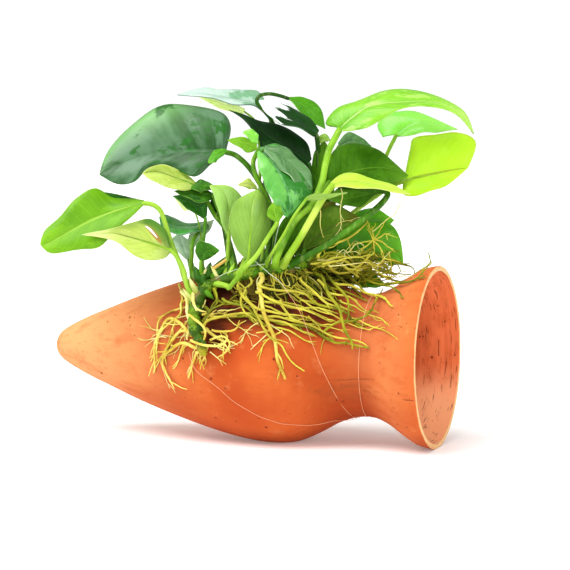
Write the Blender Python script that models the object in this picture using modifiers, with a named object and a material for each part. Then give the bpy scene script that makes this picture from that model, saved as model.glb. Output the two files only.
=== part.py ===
"""Anubias tied to a clay amphora that lies on its side.

The amphora's axis runs along +X towards its mouth. The floor is z = 0 and the origin is the
middle of the small worn flat that the belly rests on. The plant is laid out as it is seen from
its front: a place is given as millimetres across, millimetres of height and millimetres away
from the viewer, all taken at the plane through the belly.
"""
import math

import bmesh
import bpy
from mathutils import Vector

MM = 0.001
GAP = 0.35  # clear space between pieces that touch, in mm

# Amphora, in mm: places along the axis from the belly towards the mouth, with the outer radius
AXIS_HEIGHT = 39.0
CLAY_OUTLINE = (
    (-111.0, 0.0), (-109.6, 4.4), (-105.5, 8.0), (-95.0, 13.2), (-82.0, 18.4), (-66.0, 24.6),
    (-48.0, 30.6), (-28.0, 36.2), (-12.0, 39.3), (0.0, 40.0), (8.0, 38.8), (17.0, 34.8),
    (26.0, 29.9), (35.0, 27.1), (43.0, 27.0), (50.5, 30.0), (57.5, 34.6), (63.5, 38.0), (69.0, 39.3),
)
WALLS = ((-111.0, 2.6), (-60.0, 3.2), (0.0, 3.8), (40.0, 5.2), (60.0, 5.2), (69.0, 3.0))
RIM_AT = 69.8
RIM_ROUNDING = 0.5
CAVITY_END = -103.0
CAVITY_POINT = 1.5  # length of the hollow's closed point
LEAST_CAVITY = 2.0  # radius below which the hollow ends
CLAY_SIDES = 26
CLAY_RINGS = 19
SEAM_MERGE = 0.01
FLOOR_CUTTER = 300.0

# Where the plant is seen from, in mm and degrees
VIEW_TURN = 19.5
VIEW_DIP = 3.8
VIEW_DISTANCE = 800.0
VIEW_HEIGHT = 68.6
NEAREST_CLAY = -60.0  # how far towards the viewer the search for the clay's near side starts
SEARCH_STEPS = 40

# Leaves
BLADE_THICKNESS = 0.9
EDGE_THICKNESS = 0.5
SECTION_POINTS = 8
BLADE_ROOT = 0.8  # half thickness where the blade starts, as a share of the stalk's radius

# Rhizome: across, height, lift of its middle above the clay, radius
RHIZOME_PATH = (
    (-35.4, 37.4, 4.4, 1.7), (-37.4, 43.2, 4.8, 2.3), (-39.6, 50.0, 5.0, 2.8), (-39.4, 57.5, 5.0, 2.9),
    (-37.0, 64.4, 5.0, 2.7), (-32.0, 69.2, 5.0, 2.6), (-25.5, 71.2, 5.0, 2.5), (-18.5, 73.2, 5.0, 2.7),
    (-11.5, 75.4, 5.0, 2.9), (-4.0, 76.0, 5.0, 2.9), (2.0, 76.6, 5.0, 2.7), (9.0, 78.0, 4.6, 2.4),
    (16.0, 79.2, 4.2, 2.0),
)
RHIZOME_RINGS = 25
RING_WAIST = 0.88
RHIZOME_ENDS = 0.7
SPROUT_LENGTH = 0.8  # straight start of each stalk and root
SPROUT_SPAN = 0.2  # stretch of the path on each side of a sprout that gives its direction

COLOURS = {
    "clay": ((0.72, 0.24, 0.09, 1.0), 0.85),
    "rhizome": ((0.24, 0.36, 0.08, 1.0), 0.5),
    "root": ((0.62, 0.55, 0.12, 1.0), 0.55),
    "line": ((0.85, 0.85, 0.8, 1.0), 0.2),
    "dark_leaf": ((0.05, 0.16, 0.05, 1.0), 0.3),
    "mid_leaf": ((0.16, 0.34, 0.07, 1.0), 0.4),
    "bright_leaf": ((0.36, 0.62, 0.07, 1.0), 0.4),
}

# Each leaf: name, colour, place along the rhizome counted in points of its path, stalk radius,
# stalk points from the rhizome to the blade, and blade rows from base to tip. A row holds the
# midrib and the two edges, and the tip is one point. Points are across, height and away.
LEAVES = (
    ("leaf_great_dark", "dark_leaf", 8.2, 1.3,
     ((-7, 86, -13), (-5, 97, -9), (-7, 105, -8), (-11, 113, -8), (-16, 120.5, -8), (-21.5, 125.5, -8)),
     (((-26, 127, -8), (-26, 128.4, -7.4), (-27, 125.8, -8.6)),
      ((-30, 127.5, -8), (-24, 138.5, -3), (-33, 121.5, -11)),
      ((-37, 127.5, -8), (-28.5, 144.6, 0), (-39.5, 116, -13)),
      ((-48, 127, -8), (-44, 148, 2), (-49, 120, -12)),
      ((-58, 126, -9), (-57, 146, 1), (-59, 120.7, -12)),
      ((-67, 123.5, -10), (-69, 137.5, -2), (-66, 113.8, -14)),
      ((-75, 120.5, -11), (-78, 127, -6), (-74, 113.2, -14)),
      ((-81.5, 117, -12),))),
    ("leaf_low_left", "bright_leaf", 2.4, 1.2,
     ((-43.4, 70, -14), (-46, 77.4, -16), (-50, 87, -17), (-53, 96.5, -16), (-55, 101.5, -15),
      (-58.5, 104, -14)),
     (((-62, 104.5, -14), (-62, 105.7, -13), (-62.6, 103.4, -14.5)),
      ((-68, 103, -14), (-67, 106.3, -10), (-66.5, 99.5, -17)),
      ((-76, 100.5, -14), (-76, 107.5, -8), (-73.5, 93, -19)),
      ((-85, 97, -15), (-84, 111, -10), (-81, 86, -20)),
      ((-93, 93, -16), (-92, 106.5, -13), (-89, 84.2, -19)),
      ((-100, 89, -17), (-98.5, 99, -15), (-97, 83, -18.5)),
      ((-107.4, 83.6, -18),))),
    ("leaf_pale_left", "mid_leaf", 3.0, 1.1,
     ((-42.6, 67, -20), (-44.6, 75, -21), (-47.6, 81, -20.5)),
     (((-50.5, 84, -20), (-50.8, 85.5, -19.5), (-50.8, 82.5, -20.5)),
      ((-55, 85.5, -20), (-52.5, 92.8, -21), (-53.5, 80.2, -23)),
      ((-61, 87.5, -20), (-59, 97.5, -20), (-60.5, 79.4, -24)),
      ((-68, 89.5, -20.5), (-67, 96.2, -21.5), (-67.5, 82.5, -24)),
      ((-75, 91.2, -21), (-75, 93.8, -22), (-73.5, 87, -24)),
      ((-82, 91, -21), (-82, 92.2, -20), (-81, 89.6, -22)),
      ((-89.5, 90.6, -21.5),))),
    ("leaf_under_great", "mid_leaf", 6.2, 1.1,
     ((-22, 78, -14), (-24, 86, -12), (-26.5, 93.5, -12), (-31, 99.5, -12), (-34, 105, -12),
      (-37, 109.5, -12)),
     (((-39.5, 112, -12), (-39, 113.5, -11), (-40.2, 111, -13)),
      ((-44, 114, -12), (-43.5, 117, -9), (-45, 110, -17)),
      ((-49, 116, -13), (-48.5, 120, -14), (-50.5, 111.3, -18)),
      ((-54.5, 118, -13), (-54, 121.5, -15), (-56, 113.3, -18)),
      ((-59, 118.5, -13), (-59, 120.7, -15), (-60, 115.3, -17)),
      ((-62.8, 117.6, -15),))),
    ("leaf_small_dark", "dark_leaf", 4.5, 0.8,
     ((-36, 76, -13), (-36.3, 84, -17), (-35.4, 92, -17)),
     (((-35, 98, -16), (-34.4, 99, -16), (-35.5, 97.6, -16)),
      ((-38, 101.5, -15), (-34.4, 104, -15), (-40.5, 100.5, -17)),
      ((-42, 104.5, -15), (-38, 107.2, -15.4), (-45.5, 101.5, -17.5)),
      ((-46, 106.8, -15), (-44, 108.3, -15.2), (-48, 104.5, -17)),
      ((-49.5, 107.8, -15.5),))),
    ("leaf_teal_edge", "dark_leaf", 4.0, 1.0,
     ((-40.8, 74, -13), (-41, 82.7, -15), (-40.2, 88, -15)),
     (((-41, 92.5, -14), (-41.8, 92.8, -14), (-40, 92.6, -14)),
      ((-41.5, 93, -8), (-51, 94.5, -8), (-33.5, 93.5, -8)),
      ((-42, 93.8, 0), (-53.5, 97, 0), (-30.8, 96, 0)),
      ((-42.5, 94.5, 8), (-51.5, 98, 8), (-33, 96.5, 8)),
      ((-43, 95, 16),))),
    ("leaf_blue_back", "dark_leaf", 3.6, 0.7,
     ((-40.8, 69, -7), (-41.6, 75, -3)),
     (((-42.5, 79.5, 1), (-43.2, 79.8, 1), (-42, 79.8, 1)),
      ((-44.5, 84, 2), (-48.5, 84.5, 2), (-41, 84, 3)),
      ((-46, 88, 3), (-50, 88.2, 2), (-42, 88, 5)),
      ((-47, 91.2, 4),))),
    ("leaf_little_green", "mid_leaf", 4.9, 0.8,
     ((-36.6, 73, -19), (-37.2, 76, -20.5)),
     (((-37, 79.3, -21), (-37.6, 79.8, -21), (-36.4, 79.2, -21)),
      ((-36, 81.5, -21), (-39.6, 84, -22), (-34.5, 79.8, -20)),
      ((-34.5, 83.5, -21), (-37.5, 87.8, -22), (-32, 81.2, -20)),
      ((-32, 84, -21), (-33.5, 87, -22), (-30.3, 82.5, -20)),
      ((-28.8, 83.8, -21),))),
    ("leaf_upright_left", "mid_leaf", 5.5, 1.0,
     ((-25.6, 77, -17), (-25, 84, -17)),
     (((-24.6, 90, -17), (-25.3, 90.5, -17), (-24, 90.5, -17)),
      ((-24.5, 97, -17), (-28, 96, -18), (-21, 97, -15)),
      ((-25, 103, -17), (-29.6, 103, -18.5), (-19.5, 102.5, -14)),
      ((-26, 108, -17), (-31.4, 108, -18), (-20.5, 107.5, -14)),
      ((-28.5, 111, -17), (-32.8, 111.3, -17.5), (-24.2, 112, -16)),
      ((-33, 112.5, -17.5),))),
    ("leaf_broad_front", "mid_leaf", 7.0, 1.2,
     ((-18, 77, -27),),
     (((-16, 79.5, -29), (-17.3, 80.2, -29), (-14.8, 80.2, -29)),
      ((-15.7, 84, -30), (-20.7, 84, -27), (-10.8, 84, -27)),
      ((-15.3, 90, -30.5), (-23.6, 90.5, -26), (-7.5, 90, -26)),
      ((-14.8, 96.5, -30), (-24.3, 97.5, -25), (-6.3, 97, -25)),
      ((-14.2, 103, -29), (-22.3, 104, -24), (-7.5, 103.5, -25)),
      ((-13.2, 107.5, -28), (-18, 107.8, -26), (-9.3, 107.7, -26)),
      ((-12, 110.5, -27),))),
    ("leaf_bent_stalk", "bright_leaf", 6.0, 1.1,
     ((-24.4, 67.6, -27), (-17.6, 76.2, -34), (-12.5, 81.6, -34), (-7.5, 89.5, -33)),
     (((-3.3, 96, -33), (-4, 96.4, -33), (-2.7, 96.4, -33)),
      ((-4.2, 99.5, -33), (-7.6, 99, -32), (-1, 99.5, -33)),
      ((-4.8, 102.5, -33), (-7.3, 102, -32), (-2, 103, -33)),
      ((-4.8, 105.2, -33),))),
    ("leaf_tiny_pale", "bright_leaf", 7.3, 0.6,
     ((-16.5, 84, -14), (-13, 96, -14), (-11.5, 106, -14)),
     (((-12.5, 111, -14), (-12.4, 111.5, -13.6), (-12.7, 110.6, -14.4)),
      ((-16, 112.9, -14), (-15.8, 115.2, -12), (-16, 111, -15)),
      ((-20.8, 112.6, -14),))),
    ("leaf_hanging_mint", "bright_leaf", 8.8, 1.1,
     ((-4.4, 87, -20), (-4, 97, -22), (-8, 107, -23), (-12.5, 116, -23), (-14, 122.5, -21)),
     (((-11.6, 128.2, -21), (-11.2, 129, -21), (-12.1, 127.4, -21)),
      ((-7, 124, -24), (-4.5, 130.2, -20), (-12.1, 123.5, -26)),
      ((-3.5, 119, -27), (2.5, 127, -20), (-11.2, 118.5, -29)),
      ((-0.5, 113.5, -29), (8, 119.5, -21), (-8.8, 112.7, -32)),
      ((1.5, 108, -30), (12, 112.5, -23), (-5.8, 106.3, -33)),
      ((2, 103, -30.5), (9, 104.5, -25), (-3.2, 101.5, -32.5)),
      ((1, 98.3, -30.5),))),
    ("leaf_small_yellow", "bright_leaf", 7.7, 0.7,
     ((-9.5, 86, -15), (-9, 98, -13), (-11, 112, -13), (-11, 122, -13)),
     (((-12.5, 129, -13), (-12.3, 129.9, -12.7), (-12.8, 128.2, -13.4)),
      ((-16, 130.3, -13), (-15.5, 132.4, -11), (-15.5, 126.8, -15)),
      ((-20, 131.7, -13), (-20, 133.6, -12), (-20, 129, -14)),
      ((-25.3, 132.4, -13),))),
    ("leaf_black_green", "dark_leaf", 9.2, 1.1,
     ((-1.5, 84, -10), (3, 96, -5), (8.6, 107, -5), (11, 116, -7.4)),
     (((10.5, 122, -9), (11.6, 123.8, -8.5), (10.3, 119.8, -9.5)),
      ((6, 125.5, -8), (9.5, 131, -5), (3.5, 120, -13)),
      ((0, 129.5, -7), (3.5, 136.2, -3), (-4, 122, -13)),
      ((-6, 133, -6), (-3, 138.9, -2), (-11, 127.5, -10)),
      ((-11.5, 137, -5), (-10, 140.4, -2), (-12.7, 133.5, -8)),
      ((-20, 144, -3),))),
    ("leaf_white_gloss", "bright_leaf", 7.85, 1.0,
     ((-11, 84, -8), (-10, 105, 6), (-7, 125, 13), (-6, 138, 14)),
     (((-7, 144, 13), (-7, 145.3, 14), (-7.6, 142.8, 12)),
      ((-13, 148, 12), (-12, 153.7, 20), (-13, 147, 6)),
      ((-20, 150, 12), (-20, 154.5, 20), (-20, 148, 5)),
      ((-28, 151.3, 12), (-28, 154.2, 18), (-28, 149.3, 5)),
      ((-36, 152.5, 12), (-35, 155.6, 16), (-36, 151.4, 6)),
      ((-47.3, 152.2, 11),))),
    ("leaf_white_dark", "dark_leaf", 10.05, 1.2,
     ((2.6, 84, -10), (8, 97, 0), (12.5, 110, 1), (14.6, 122, -1), (14.4, 130, -6)),
     (((13.8, 134.6, -8), (15, 136.4, -7.6), (12.4, 133.8, -9)),
      ((8, 139.5, -9), (10.5, 142.2, -5), (7.5, 137, -13)),
      ((2, 142.5, -9), (5, 145.6, -4), (1, 138.9, -14)),
      ((-3, 145.5, -9), (-1, 148.6, -5), (-4.5, 140.8, -14)),
      ((-7.5, 147.6, -9), (-6.5, 149.8, -6), (-8.5, 144.5, -12)),
      ((-11.5, 149.6, -9),))),
    ("leaf_top_arc", "bright_leaf", 8.6, 0.9,
     ((-6.5, 84, -9), (-5, 105, 5), (-8, 125, 5), (-11.6, 139, 2), (-12.4, 147.5, 0),
      (-9.5, 152.4, 2), (-3.6, 152.4, 4)),
     (((1.5, 150.6, 6), (2, 151.2, 6.5), (2, 150, 5.5)),
      ((6, 148.5, 6), (7, 151, 9), (5, 146.9, 3)),
      ((10.5, 145.5, 6), (12.5, 149.5, 9), (9, 142.8, 3)),
      ((14.5, 141.8, 5), (16.3, 144, 8), (12.5, 139.9, 2)),
      ((17.6, 137.3, 4),))),
    ("leaf_great_arch", "bright_leaf", 9.2, 1.6,
     ((-3.6, 81, -31), (4.4, 96.8, -27), (11.4, 103.6, -24), (16, 113, -22), (17.8, 122, -19),
      (19.6, 128.5, -16), (22.3, 133.8, -13)),
     (((24, 137, -12), (22.8, 138.2, -11.4), (25, 136.3, -12.8)),
      ((26.5, 139.5, -12), (18, 139.5, -8), (28.5, 136.3, -15)),
      ((31, 143.2, -12), (23, 146, -6), (36, 137.6, -17)),
      ((36, 146.5, -12), (32, 149.5, -5), (41, 140.8, -17)),
      ((43, 148.2, -12), (42, 153.8, -4), (46.5, 144, -17)),
      ((52, 148.8, -12), (51, 154.8, -4), (54, 146.4, -16)),
      ((62, 149.2, -12), (61.5, 152.9, -5), (62, 147.3, -15)),
      ((71, 147.8, -12), (72, 149.2, -7), (70.5, 146, -14)),
      ((78, 143.2, -12), (79.5, 144.2, -9), (77, 142.2, -13.5)),
      ((83, 135, -12),))),
    ("leaf_mint_right", "bright_leaf", 10.6, 1.0,
     ((9, 84, -8), (18, 97, 5), (32, 110, 10), (42, 121, 11), (46.4, 129.5, 9)),
     (((49, 134.5, 8), (43, 133.6, 10), (50, 133.8, 8)),
      ((52, 136.5, 8), (41, 138.6, 14), (51.8, 133.9, 5)),
      ((55, 138.5, 8), (44.5, 143.8, 15), (57, 134.9, 4)),
      ((59.5, 140, 8), (53.5, 145, 15), (63, 135.6, 4)),
      ((65, 139.8, 8), (62.5, 143, 13), (68.5, 136, 5)),
      ((75.8, 137, 8),))),
    ("leaf_yellow_fold", "bright_leaf", 11.4, 1.1,
     ((13.6, 84, -14), (19, 91, -7), (30, 100.5, 0), (42, 109, 1), (48, 112.6, 0)),
     (((52.5, 114.3, -2), (52.6, 115.4, -2), (52, 112.6, -2)),
      ((56, 115.3, -3), (55.2, 128, 3), (52.5, 108, -6)),
      ((60, 116.2, -3), (57, 133.4, 3), (57, 107.9, -7)),
      ((65.5, 117.4, -3), (66, 134.6, 3), (63, 109.3, -7)),
      ((71.5, 118.6, -3), (75, 135.6, 3), (69.5, 111.6, -6)),
      ((76.5, 119.5, -3), (83.8, 131.4, 1), (75, 115.3, -5)),
      ((80.4, 120.1, -3),))),
    ("leaf_green_vault", "mid_leaf", 10.0, 1.2,
     ((3, 84, -21), (9, 96, -19), (15, 107, -12)),
     (((19.5, 114, -7), (19, 115.4, -6.6), (20, 112.6, -7.4)),
      ((24, 116.5, -6), (19.8, 124, -2), (26, 112, -9)),
      ((30, 118.5, -6), (24, 129.6, 0), (32, 112, -10)),
      ((36.5, 119.8, -6), (32, 130.7, 0), (38.5, 112.5, -10)),
      ((43, 120, -6), (40.5, 128, -1), (44.5, 113.2, -9)),
      ((48.5, 118.9, -6), (47.5, 122.8, -4), (49.5, 113.8, -8)),
      ((54.2, 116.5, -6),))),
    ("leaf_pale_edge", "bright_leaf", 9.9, 1.6,
     ((1.6, 81.4, -30), (6.5, 89, -31), (15.8, 105.2, -30)),
     (((20.8, 112.3, -25), (20, 113.5, -24), (21.5, 111.2, -26)),
      ((25, 113.5, -22), (24.5, 116.8, -17), (25, 111.8, -26)),
      ((31, 113.8, -20), (31.5, 117.5, -15), (31, 111.5, -25)),
      ((38, 112.7, -19), (39, 115.2, -15), (38, 110.8, -23)),
      ((45, 111.3, -18), (46.5, 112.5, -14), (45, 110.2, -21)),
      ((50.5, 109.9, -18), (51.5, 110.6, -16), (50.5, 109, -20)),
      ((55.3, 108.2, -18),))),
    ("leaf_dark_lower", "dark_leaf", 10.6, 1.5,
     ((8, 80.6, -28), (19.8, 87.1, -25), (33.9, 97.2, -20), (41.6, 103.6, -16), (45, 107.8, -13)),
     (((44.6, 109.6, -12), (44.6, 110.2, -11.4), (43.6, 109.2, -12.6)),
      ((40, 109, -11), (40, 110.8, -8), (39.5, 107.8, -13)),
      ((33, 107.5, -10), (33, 111, -6), (33, 103.2, -14)),
      ((26, 106.3, -10), (26.5, 110.3, -6), (26.5, 103.6, -13)),
      ((18.4, 106.3, -10),))),
    ("leaf_spike", "bright_leaf", 8.5, 0.7,
     ((-6, 82, -32), (-1, 90, -35), (4, 99, -35)),
     (((9.5, 106.6, -34), (9.4, 107.3, -34), (9.7, 105.9, -34)),
      ((13, 107.2, -34), (14, 108.8, -33), (12.6, 105.8, -34)),
      ((18, 107.6, -33), (18, 108.5, -32.6), (18, 106.6, -33.4)),
      ((27.5, 109.2, -32),))),
    ("leaf_dark_middle", "dark_leaf", 9.4, 1.0,
     ((-3.0, 81.5, -21),),
     (((-4.2, 84, -17), (-5, 84.6, -17), (-3.4, 84.2, -17)),
      ((-1, 88, -16), (-3.6, 89, -16), (1.5, 87, -16)),
      ((2, 93, -16), (-1.2, 94.5, -16), (5, 91.5, -16)),
      ((5.5, 98.5, -16), (2.6, 99.5, -16), (8, 97, -16)),
      ((11, 105.2, -16),))),
    ("leaf_low_middle", "mid_leaf", 10.7, 1.0,
     ((7.4, 81.5, -19),),
     (((8.6, 84.5, -16), (8, 85.2, -16), (9.2, 84, -16)),
      ((12, 88, -14), (9.4, 92, -12), (14.4, 86, -16)),
      ((17, 92, -13), (13, 100, -9), (21, 89.5, -15)),
      ((23.5, 95.3, -13), (21, 103.6, -9), (27, 93.2, -15)),
      ((28.5, 97.3, -13), (27, 101.6, -11), (30.2, 96, -14)),
      ((33.2, 97.8, -13),))),
    ("leaf_right_upper", "mid_leaf", 11.3, 1.0,
     ((14, 84, -6), (19, 87.4, 1)),
     (((25, 91.5, 5), (24.6, 92.4, 5), (25.6, 90.8, 5)),
      ((30, 94.5, 6), (28.5, 98.5, 7), (32, 91, 5)),
      ((36, 97, 7), (34.5, 101.8, 9), (38, 93, 5)),
      ((42, 98, 7), (41, 101.6, 9), (44, 93.5, 5)),
      ((48, 97, 7),))),
    ("leaf_right_lower", "mid_leaf", 12.0, 1.0,
     ((19.5, 81.4, -8), (23, 82.4, -6)),
     (((27, 83, -5), (27, 84, -5), (27.3, 82.2, -5)),
      ((32, 86, -4), (33, 92.5, -2), (33, 80.5, -7)),
      ((38.5, 88, -4), (38.5, 97, 0), (40, 79, -8)),
      ((44.5, 86.5, -4), (46, 95.5, 0), (45.5, 77.5, -7)),
      ((49, 82.5, -4), (50.6, 88.5, -3), (49, 77.5, -6)),
      ((52, 77.8, -5),))),
)

# Each root: name, radius, place along the rhizome, and its way as across, height and lift above
# the clay. A point with a fourth value stands free: across, height, away and that value.
ROOT_THINNING = 0.45
ROOTS = (
    ("root_long", 0.95, 8.1,
     ((-10.8, 68, 3.4), (-10.6, 60, 3.8), (-7, 52, 3.7), (-4.5, 42, 1.5), (-2, 33, 1.4),
      (-0.3, 27.5, 1.4))),
    ("root_long_branch", 0.6, 7.3,
     ((-17.5, 66, 2.2), (-13.5, 56, 6.2), (-6.8, 47, 6.0), (-2.5, 42, 4.4), (3, 35.5, 1.2),
      (8, 31, 1.2))),
    ("root_slant", 0.75, 6.7,
     ((-20.4, 68, 2.4), (-17, 62.4, 7.0), (-12, 58, 9.0), (-5.5, 56.4, 6.4), (3.5, 55, 1.2),
      (12, 53, 1.2))),
    ("root_low_sweep", 0.8, 3.3,
     ((-33, 53.6, 1.8), (-27, 55, 1.4), (-16, 55.2, 1.3), (-7.5, 53.6, 1.3), (1, 51.5, 1.3),
      (12, 48.9, 1.3), (22, 43.8, 1.3), (27, 42.6, 1.3), (36.5, 41.6, 1.3))),
    ("root_olive_left", 0.6, 4.8,
     ((-28, 61.5, 1.2), (-24, 61.8, 1.2), (-19.4, 60.4, 1.2), (-16, 58.4, 1.2))),
    ("root_mid_upper", 0.6, 9.5, ((-1, 67, 1.3), (5, 63.2, 1.2), (12, 61.4, 1.2), (20, 58.6, 1.2))),
    ("root_mid_lower", 0.6, 8.9,
     ((-5.5, 68, 1.4), (-5, 62.6, 1.2), (0, 60.2, 1.2), (8, 58.8, 1.2), (14, 56.6, 1.2),
      (20.6, 52.6, 1.2))),
    ("root_upper_run", 0.55, 10.0,
     ((2, 69.6, 1.2), (6, 66.2, 1.2), (12, 64.4, 1.2), (20, 62, 1.2), (27, 58.4, 1.2),
      (30.4, 56, 1.2))),
    ("root_right_fall", 0.85, 11.2,
     ((14, 73, 4.4), (17, 70.4, 5.6), (20.5, 63.6, 6.2), (24, 56.5, 6.0), (27, 48.6, 5.0),
      (29, 43.4, 4.2), (30.4, 40.0, 2.8))),
    ("root_right_run", 0.7, 10.6, ((9, 72, 1.3), (16, 68.2, 1.3), (27, 65.6, 1.3), (36.4, 61.8, 1.3))),
    ("root_right_end", 0.65, 11.8,
     ((18, 75, 1.4), (24, 73, 1.3), (31, 69.6, 1.3), (38, 64.4, 1.3), (43.5, 62.6, 1.2),
      (47.6, 59.8, 1.2))),
    ("root_yellow_stub", 0.8, 11.4,
     ((14, 82, -24, 1), (20, 85.6, -17, 1), (27, 89.4, -14, 1), (36.5, 96.2, -11, 1))),
    ("root_upper_right", 0.8, 12.0,
     ((21, 78.6, -16, 1), (26, 80.0, -14, 1), (32, 81.4, -13, 1), (38, 84, -14, 1),
      (40.4, 88.5, -14, 1))),
    ("root_left_bundle", 0.8, 1.85,
     ((-45.5, 52, 2.2), (-52, 53, 1.4), (-56, 46, 1.3), (-57.2, 38, 1.3), (-58, 30, 1.3))),
    ("root_left_strand", 0.8, 1.0,
     ((-44, 42.6, 2.2), (-49.5, 40.6, 1.4), (-54, 37, 1.3), (-52, 30.5, 1.3), (-50, 24.5, 1.2))),
    ("root_left_loop", 0.9, 1.6,
     ((-34.4, 49, 3.0), (-29.6, 45.6, 1.6), (-26.4, 43.6, 1.5), (-31, 41.6, 1.5))),
    ("root_left_drop", 0.7, 0.5, ((-39.5, 38, 2.2), (-41, 33.4, 1.4), (-42, 28.2, 1.3))),
)

# Lines of clear nylon: a name, whether it is a whole loop, and points round the clay as place
# along the axis, degrees from the top towards the front, and lift above the clay
TIES = (
    ("tie_crown", True,
     ((-20, 10, 8.0), (-5, 33, 11.0), (4, 42, 10.8), (12.5, 49, 10.0), (23, 69, 9.0), (29.8, 111, 1.4),
      (34.5, 168, 2.0), (30, 215, 2.0), (15, 265, 2.0), (0, 300, 2.0), (-15, 335, 2.2))),
    ("tie_neck", True,
     ((45.5, 0, 1.2), (45, 24, 3.4), (44, 46, 3.8), (43, 76, 1.6), (42, 114, 1.1), (41, 146, 1.1),
      (40, 180, 1.1), (40, 230, 1.1), (42, 290, 1.1), (45, 330, 1.1))),
    ("tie_lower", False,
     ((-30, 86, 2.8), (-26.5, 97, 2.9), (-18, 108, 1.3), (-9, 119, 1.2), (4.6, 132, 1.2),
      (12.3, 140, 1.2), (20.4, 151, 1.2), (30, 165, 1.0), (32, 190, 1.0), (28, 230, 1.0),
      (14, 270, 1.0), (2, 310, 1.0), (-4, 345, 1.2), (-5, 366, 1.4))),
)
TIE_RADIUS = 0.18
TIE_POINTS = 30


def remove_everything():
    for item in list(bpy.data.objects):
        bpy.data.objects.remove(item, do_unlink=True)


def make_collection(name):
    collection = bpy.data.collections.new(name)
    bpy.context.scene.collection.children.link(collection)
    return collection


def make_materials():
    materials = {}
    for name, (colour, roughness) in COLOURS.items():
        material = bpy.data.materials.new(name)
        material.use_nodes = True
        shader = material.node_tree.nodes["Principled BSDF"]
        shader.inputs["Base Color"].default_value = colour
        shader.inputs["Roughness"].default_value = roughness
        shader.inputs["Metallic"].default_value = 0.0
        materials[name] = material
    return materials


def curve_point(points, place):
    """Point of a smooth curve through all of `points`, at a place from 0 to their number less 1."""
    index = min(int(place), len(points) - 2)
    t = place - index
    before = points[max(index - 1, 0)]
    start = points[index]
    end = points[index + 1]
    after = points[min(index + 2, len(points) - 1)]
    result = []
    for a, b, c, d in zip(before, start, end, after):
        result.append(0.5 * (2 * b + (c - a) * t + (2 * a - 5 * b + 4 * c - d) * t * t
                             + (3 * b - a - 3 * c + d) * t * t * t))
    return result


def smooth_points(points, count):
    last = len(points) - 1
    return [curve_point(points, last * i / (count - 1)) for i in range(count)]


def between(rows, axial):
    """Value at a place along the axis, read straight between the rows of (place, value)."""
    if axial <= rows[0][0]:
        return rows[0][1]
    for (x0, value0), (x1, value1) in zip(rows, rows[1:]):
        if axial <= x1:
            return value0 + (value1 - value0) * (axial - x0) / (x1 - x0)
    return rows[-1][1]


def clay_radius(axial):
    return between(CLAY_OUTLINE, axial)


def view_axes():
    turn = math.radians(VIEW_TURN)
    dip = math.radians(VIEW_DIP)
    right = Vector((math.cos(turn), math.sin(turn), 0))
    ahead = Vector((-math.sin(turn) * math.cos(dip), math.cos(turn) * math.cos(dip), -math.sin(dip)))
    return right, right.cross(ahead), ahead


def seen(across, height, away):
    """World place, in mm, of a point seen at across and height and standing `away` further back."""
    right, up, ahead = view_axes()
    target = Vector((0, 0, VIEW_HEIGHT))
    eye = target - ahead * VIEW_DISTANCE
    flat = target + right * across + up * (height - VIEW_HEIGHT)
    return eye + (flat - eye) * (1 + away / VIEW_DISTANCE)


def clearance(place):
    """Distance of a world place from the clay's outer surface, measured from the axis."""
    return math.hypot(place.y, place.z - AXIS_HEIGHT) - clay_radius(place.x)


def on_clay(across, height, lift):
    """World place on the near side of the clay, `lift` mm above it, as seen at across and height."""
    near = NEAREST_CLAY
    far = -across * math.tan(math.radians(VIEW_TURN))
    for _ in range(SEARCH_STEPS):
        middle = (near + far) / 2
        if clearance(seen(across, height, middle)) > lift:
            near = middle
        else:
            far = middle
    return seen(across, height, near)


def round_clay(axial, degrees, lift):
    angle = math.radians(degrees)
    reach = clay_radius(axial) + lift
    return Vector((axial, -reach * math.sin(angle), AXIS_HEIGHT + reach * math.cos(angle)))


def link_mesh(name, bm, material, collection):
    mesh = bpy.data.meshes.new(name)
    bm.to_mesh(mesh)
    bm.free()
    mesh.shade_smooth()
    item = bpy.data.objects.new(name, mesh)
    item.data.materials.append(material)
    collection.objects.link(item)
    return item


def loft(name, rings, material, collection):
    """Closed skin over rings of equal point count; a ring of one point is a tip."""
    bm = bmesh.new()
    rows = [[bm.verts.new(point * MM) for point in ring] for ring in rings]
    for row, after in zip(rows, rows[1:]):
        count = max(len(row), len(after))
        for i in range(count):
            j = (i + 1) % count
            if len(after) == 1:
                bm.faces.new((row[i], row[j], after[0]))
            else:
                bm.faces.new((row[i], row[j], after[j], after[i]))
    bm.faces.new(list(reversed(rows[0])))
    if len(rows[-1]) > 1:
        bm.faces.new(rows[-1])
    bmesh.ops.triangulate(bm, faces=bm.faces)
    bmesh.ops.recalc_face_normals(bm, faces=bm.faces)
    return link_mesh(name, bm, material, collection)


def tube(name, points, radius, material, collection, closed=False, scales=None, resolution=1):
    curve = bpy.data.curves.new(name, "CURVE")
    curve.dimensions = "3D"
    curve.bevel_depth = radius * MM
    curve.bevel_resolution = resolution
    curve.use_fill_caps = not closed
    spline = curve.splines.new("POLY")
    spline.points.add(len(points) - 1)
    for index, point in enumerate(points):
        spline.points[index].co = (*(Vector(point) * MM), 1.0)
        spline.points[index].radius = scales[index] if scales else 1.0
    spline.use_cyclic_u = closed
    item = bpy.data.objects.new(name, curve)
    item.data.materials.append(material)
    collection.objects.link(item)
    return item


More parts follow.
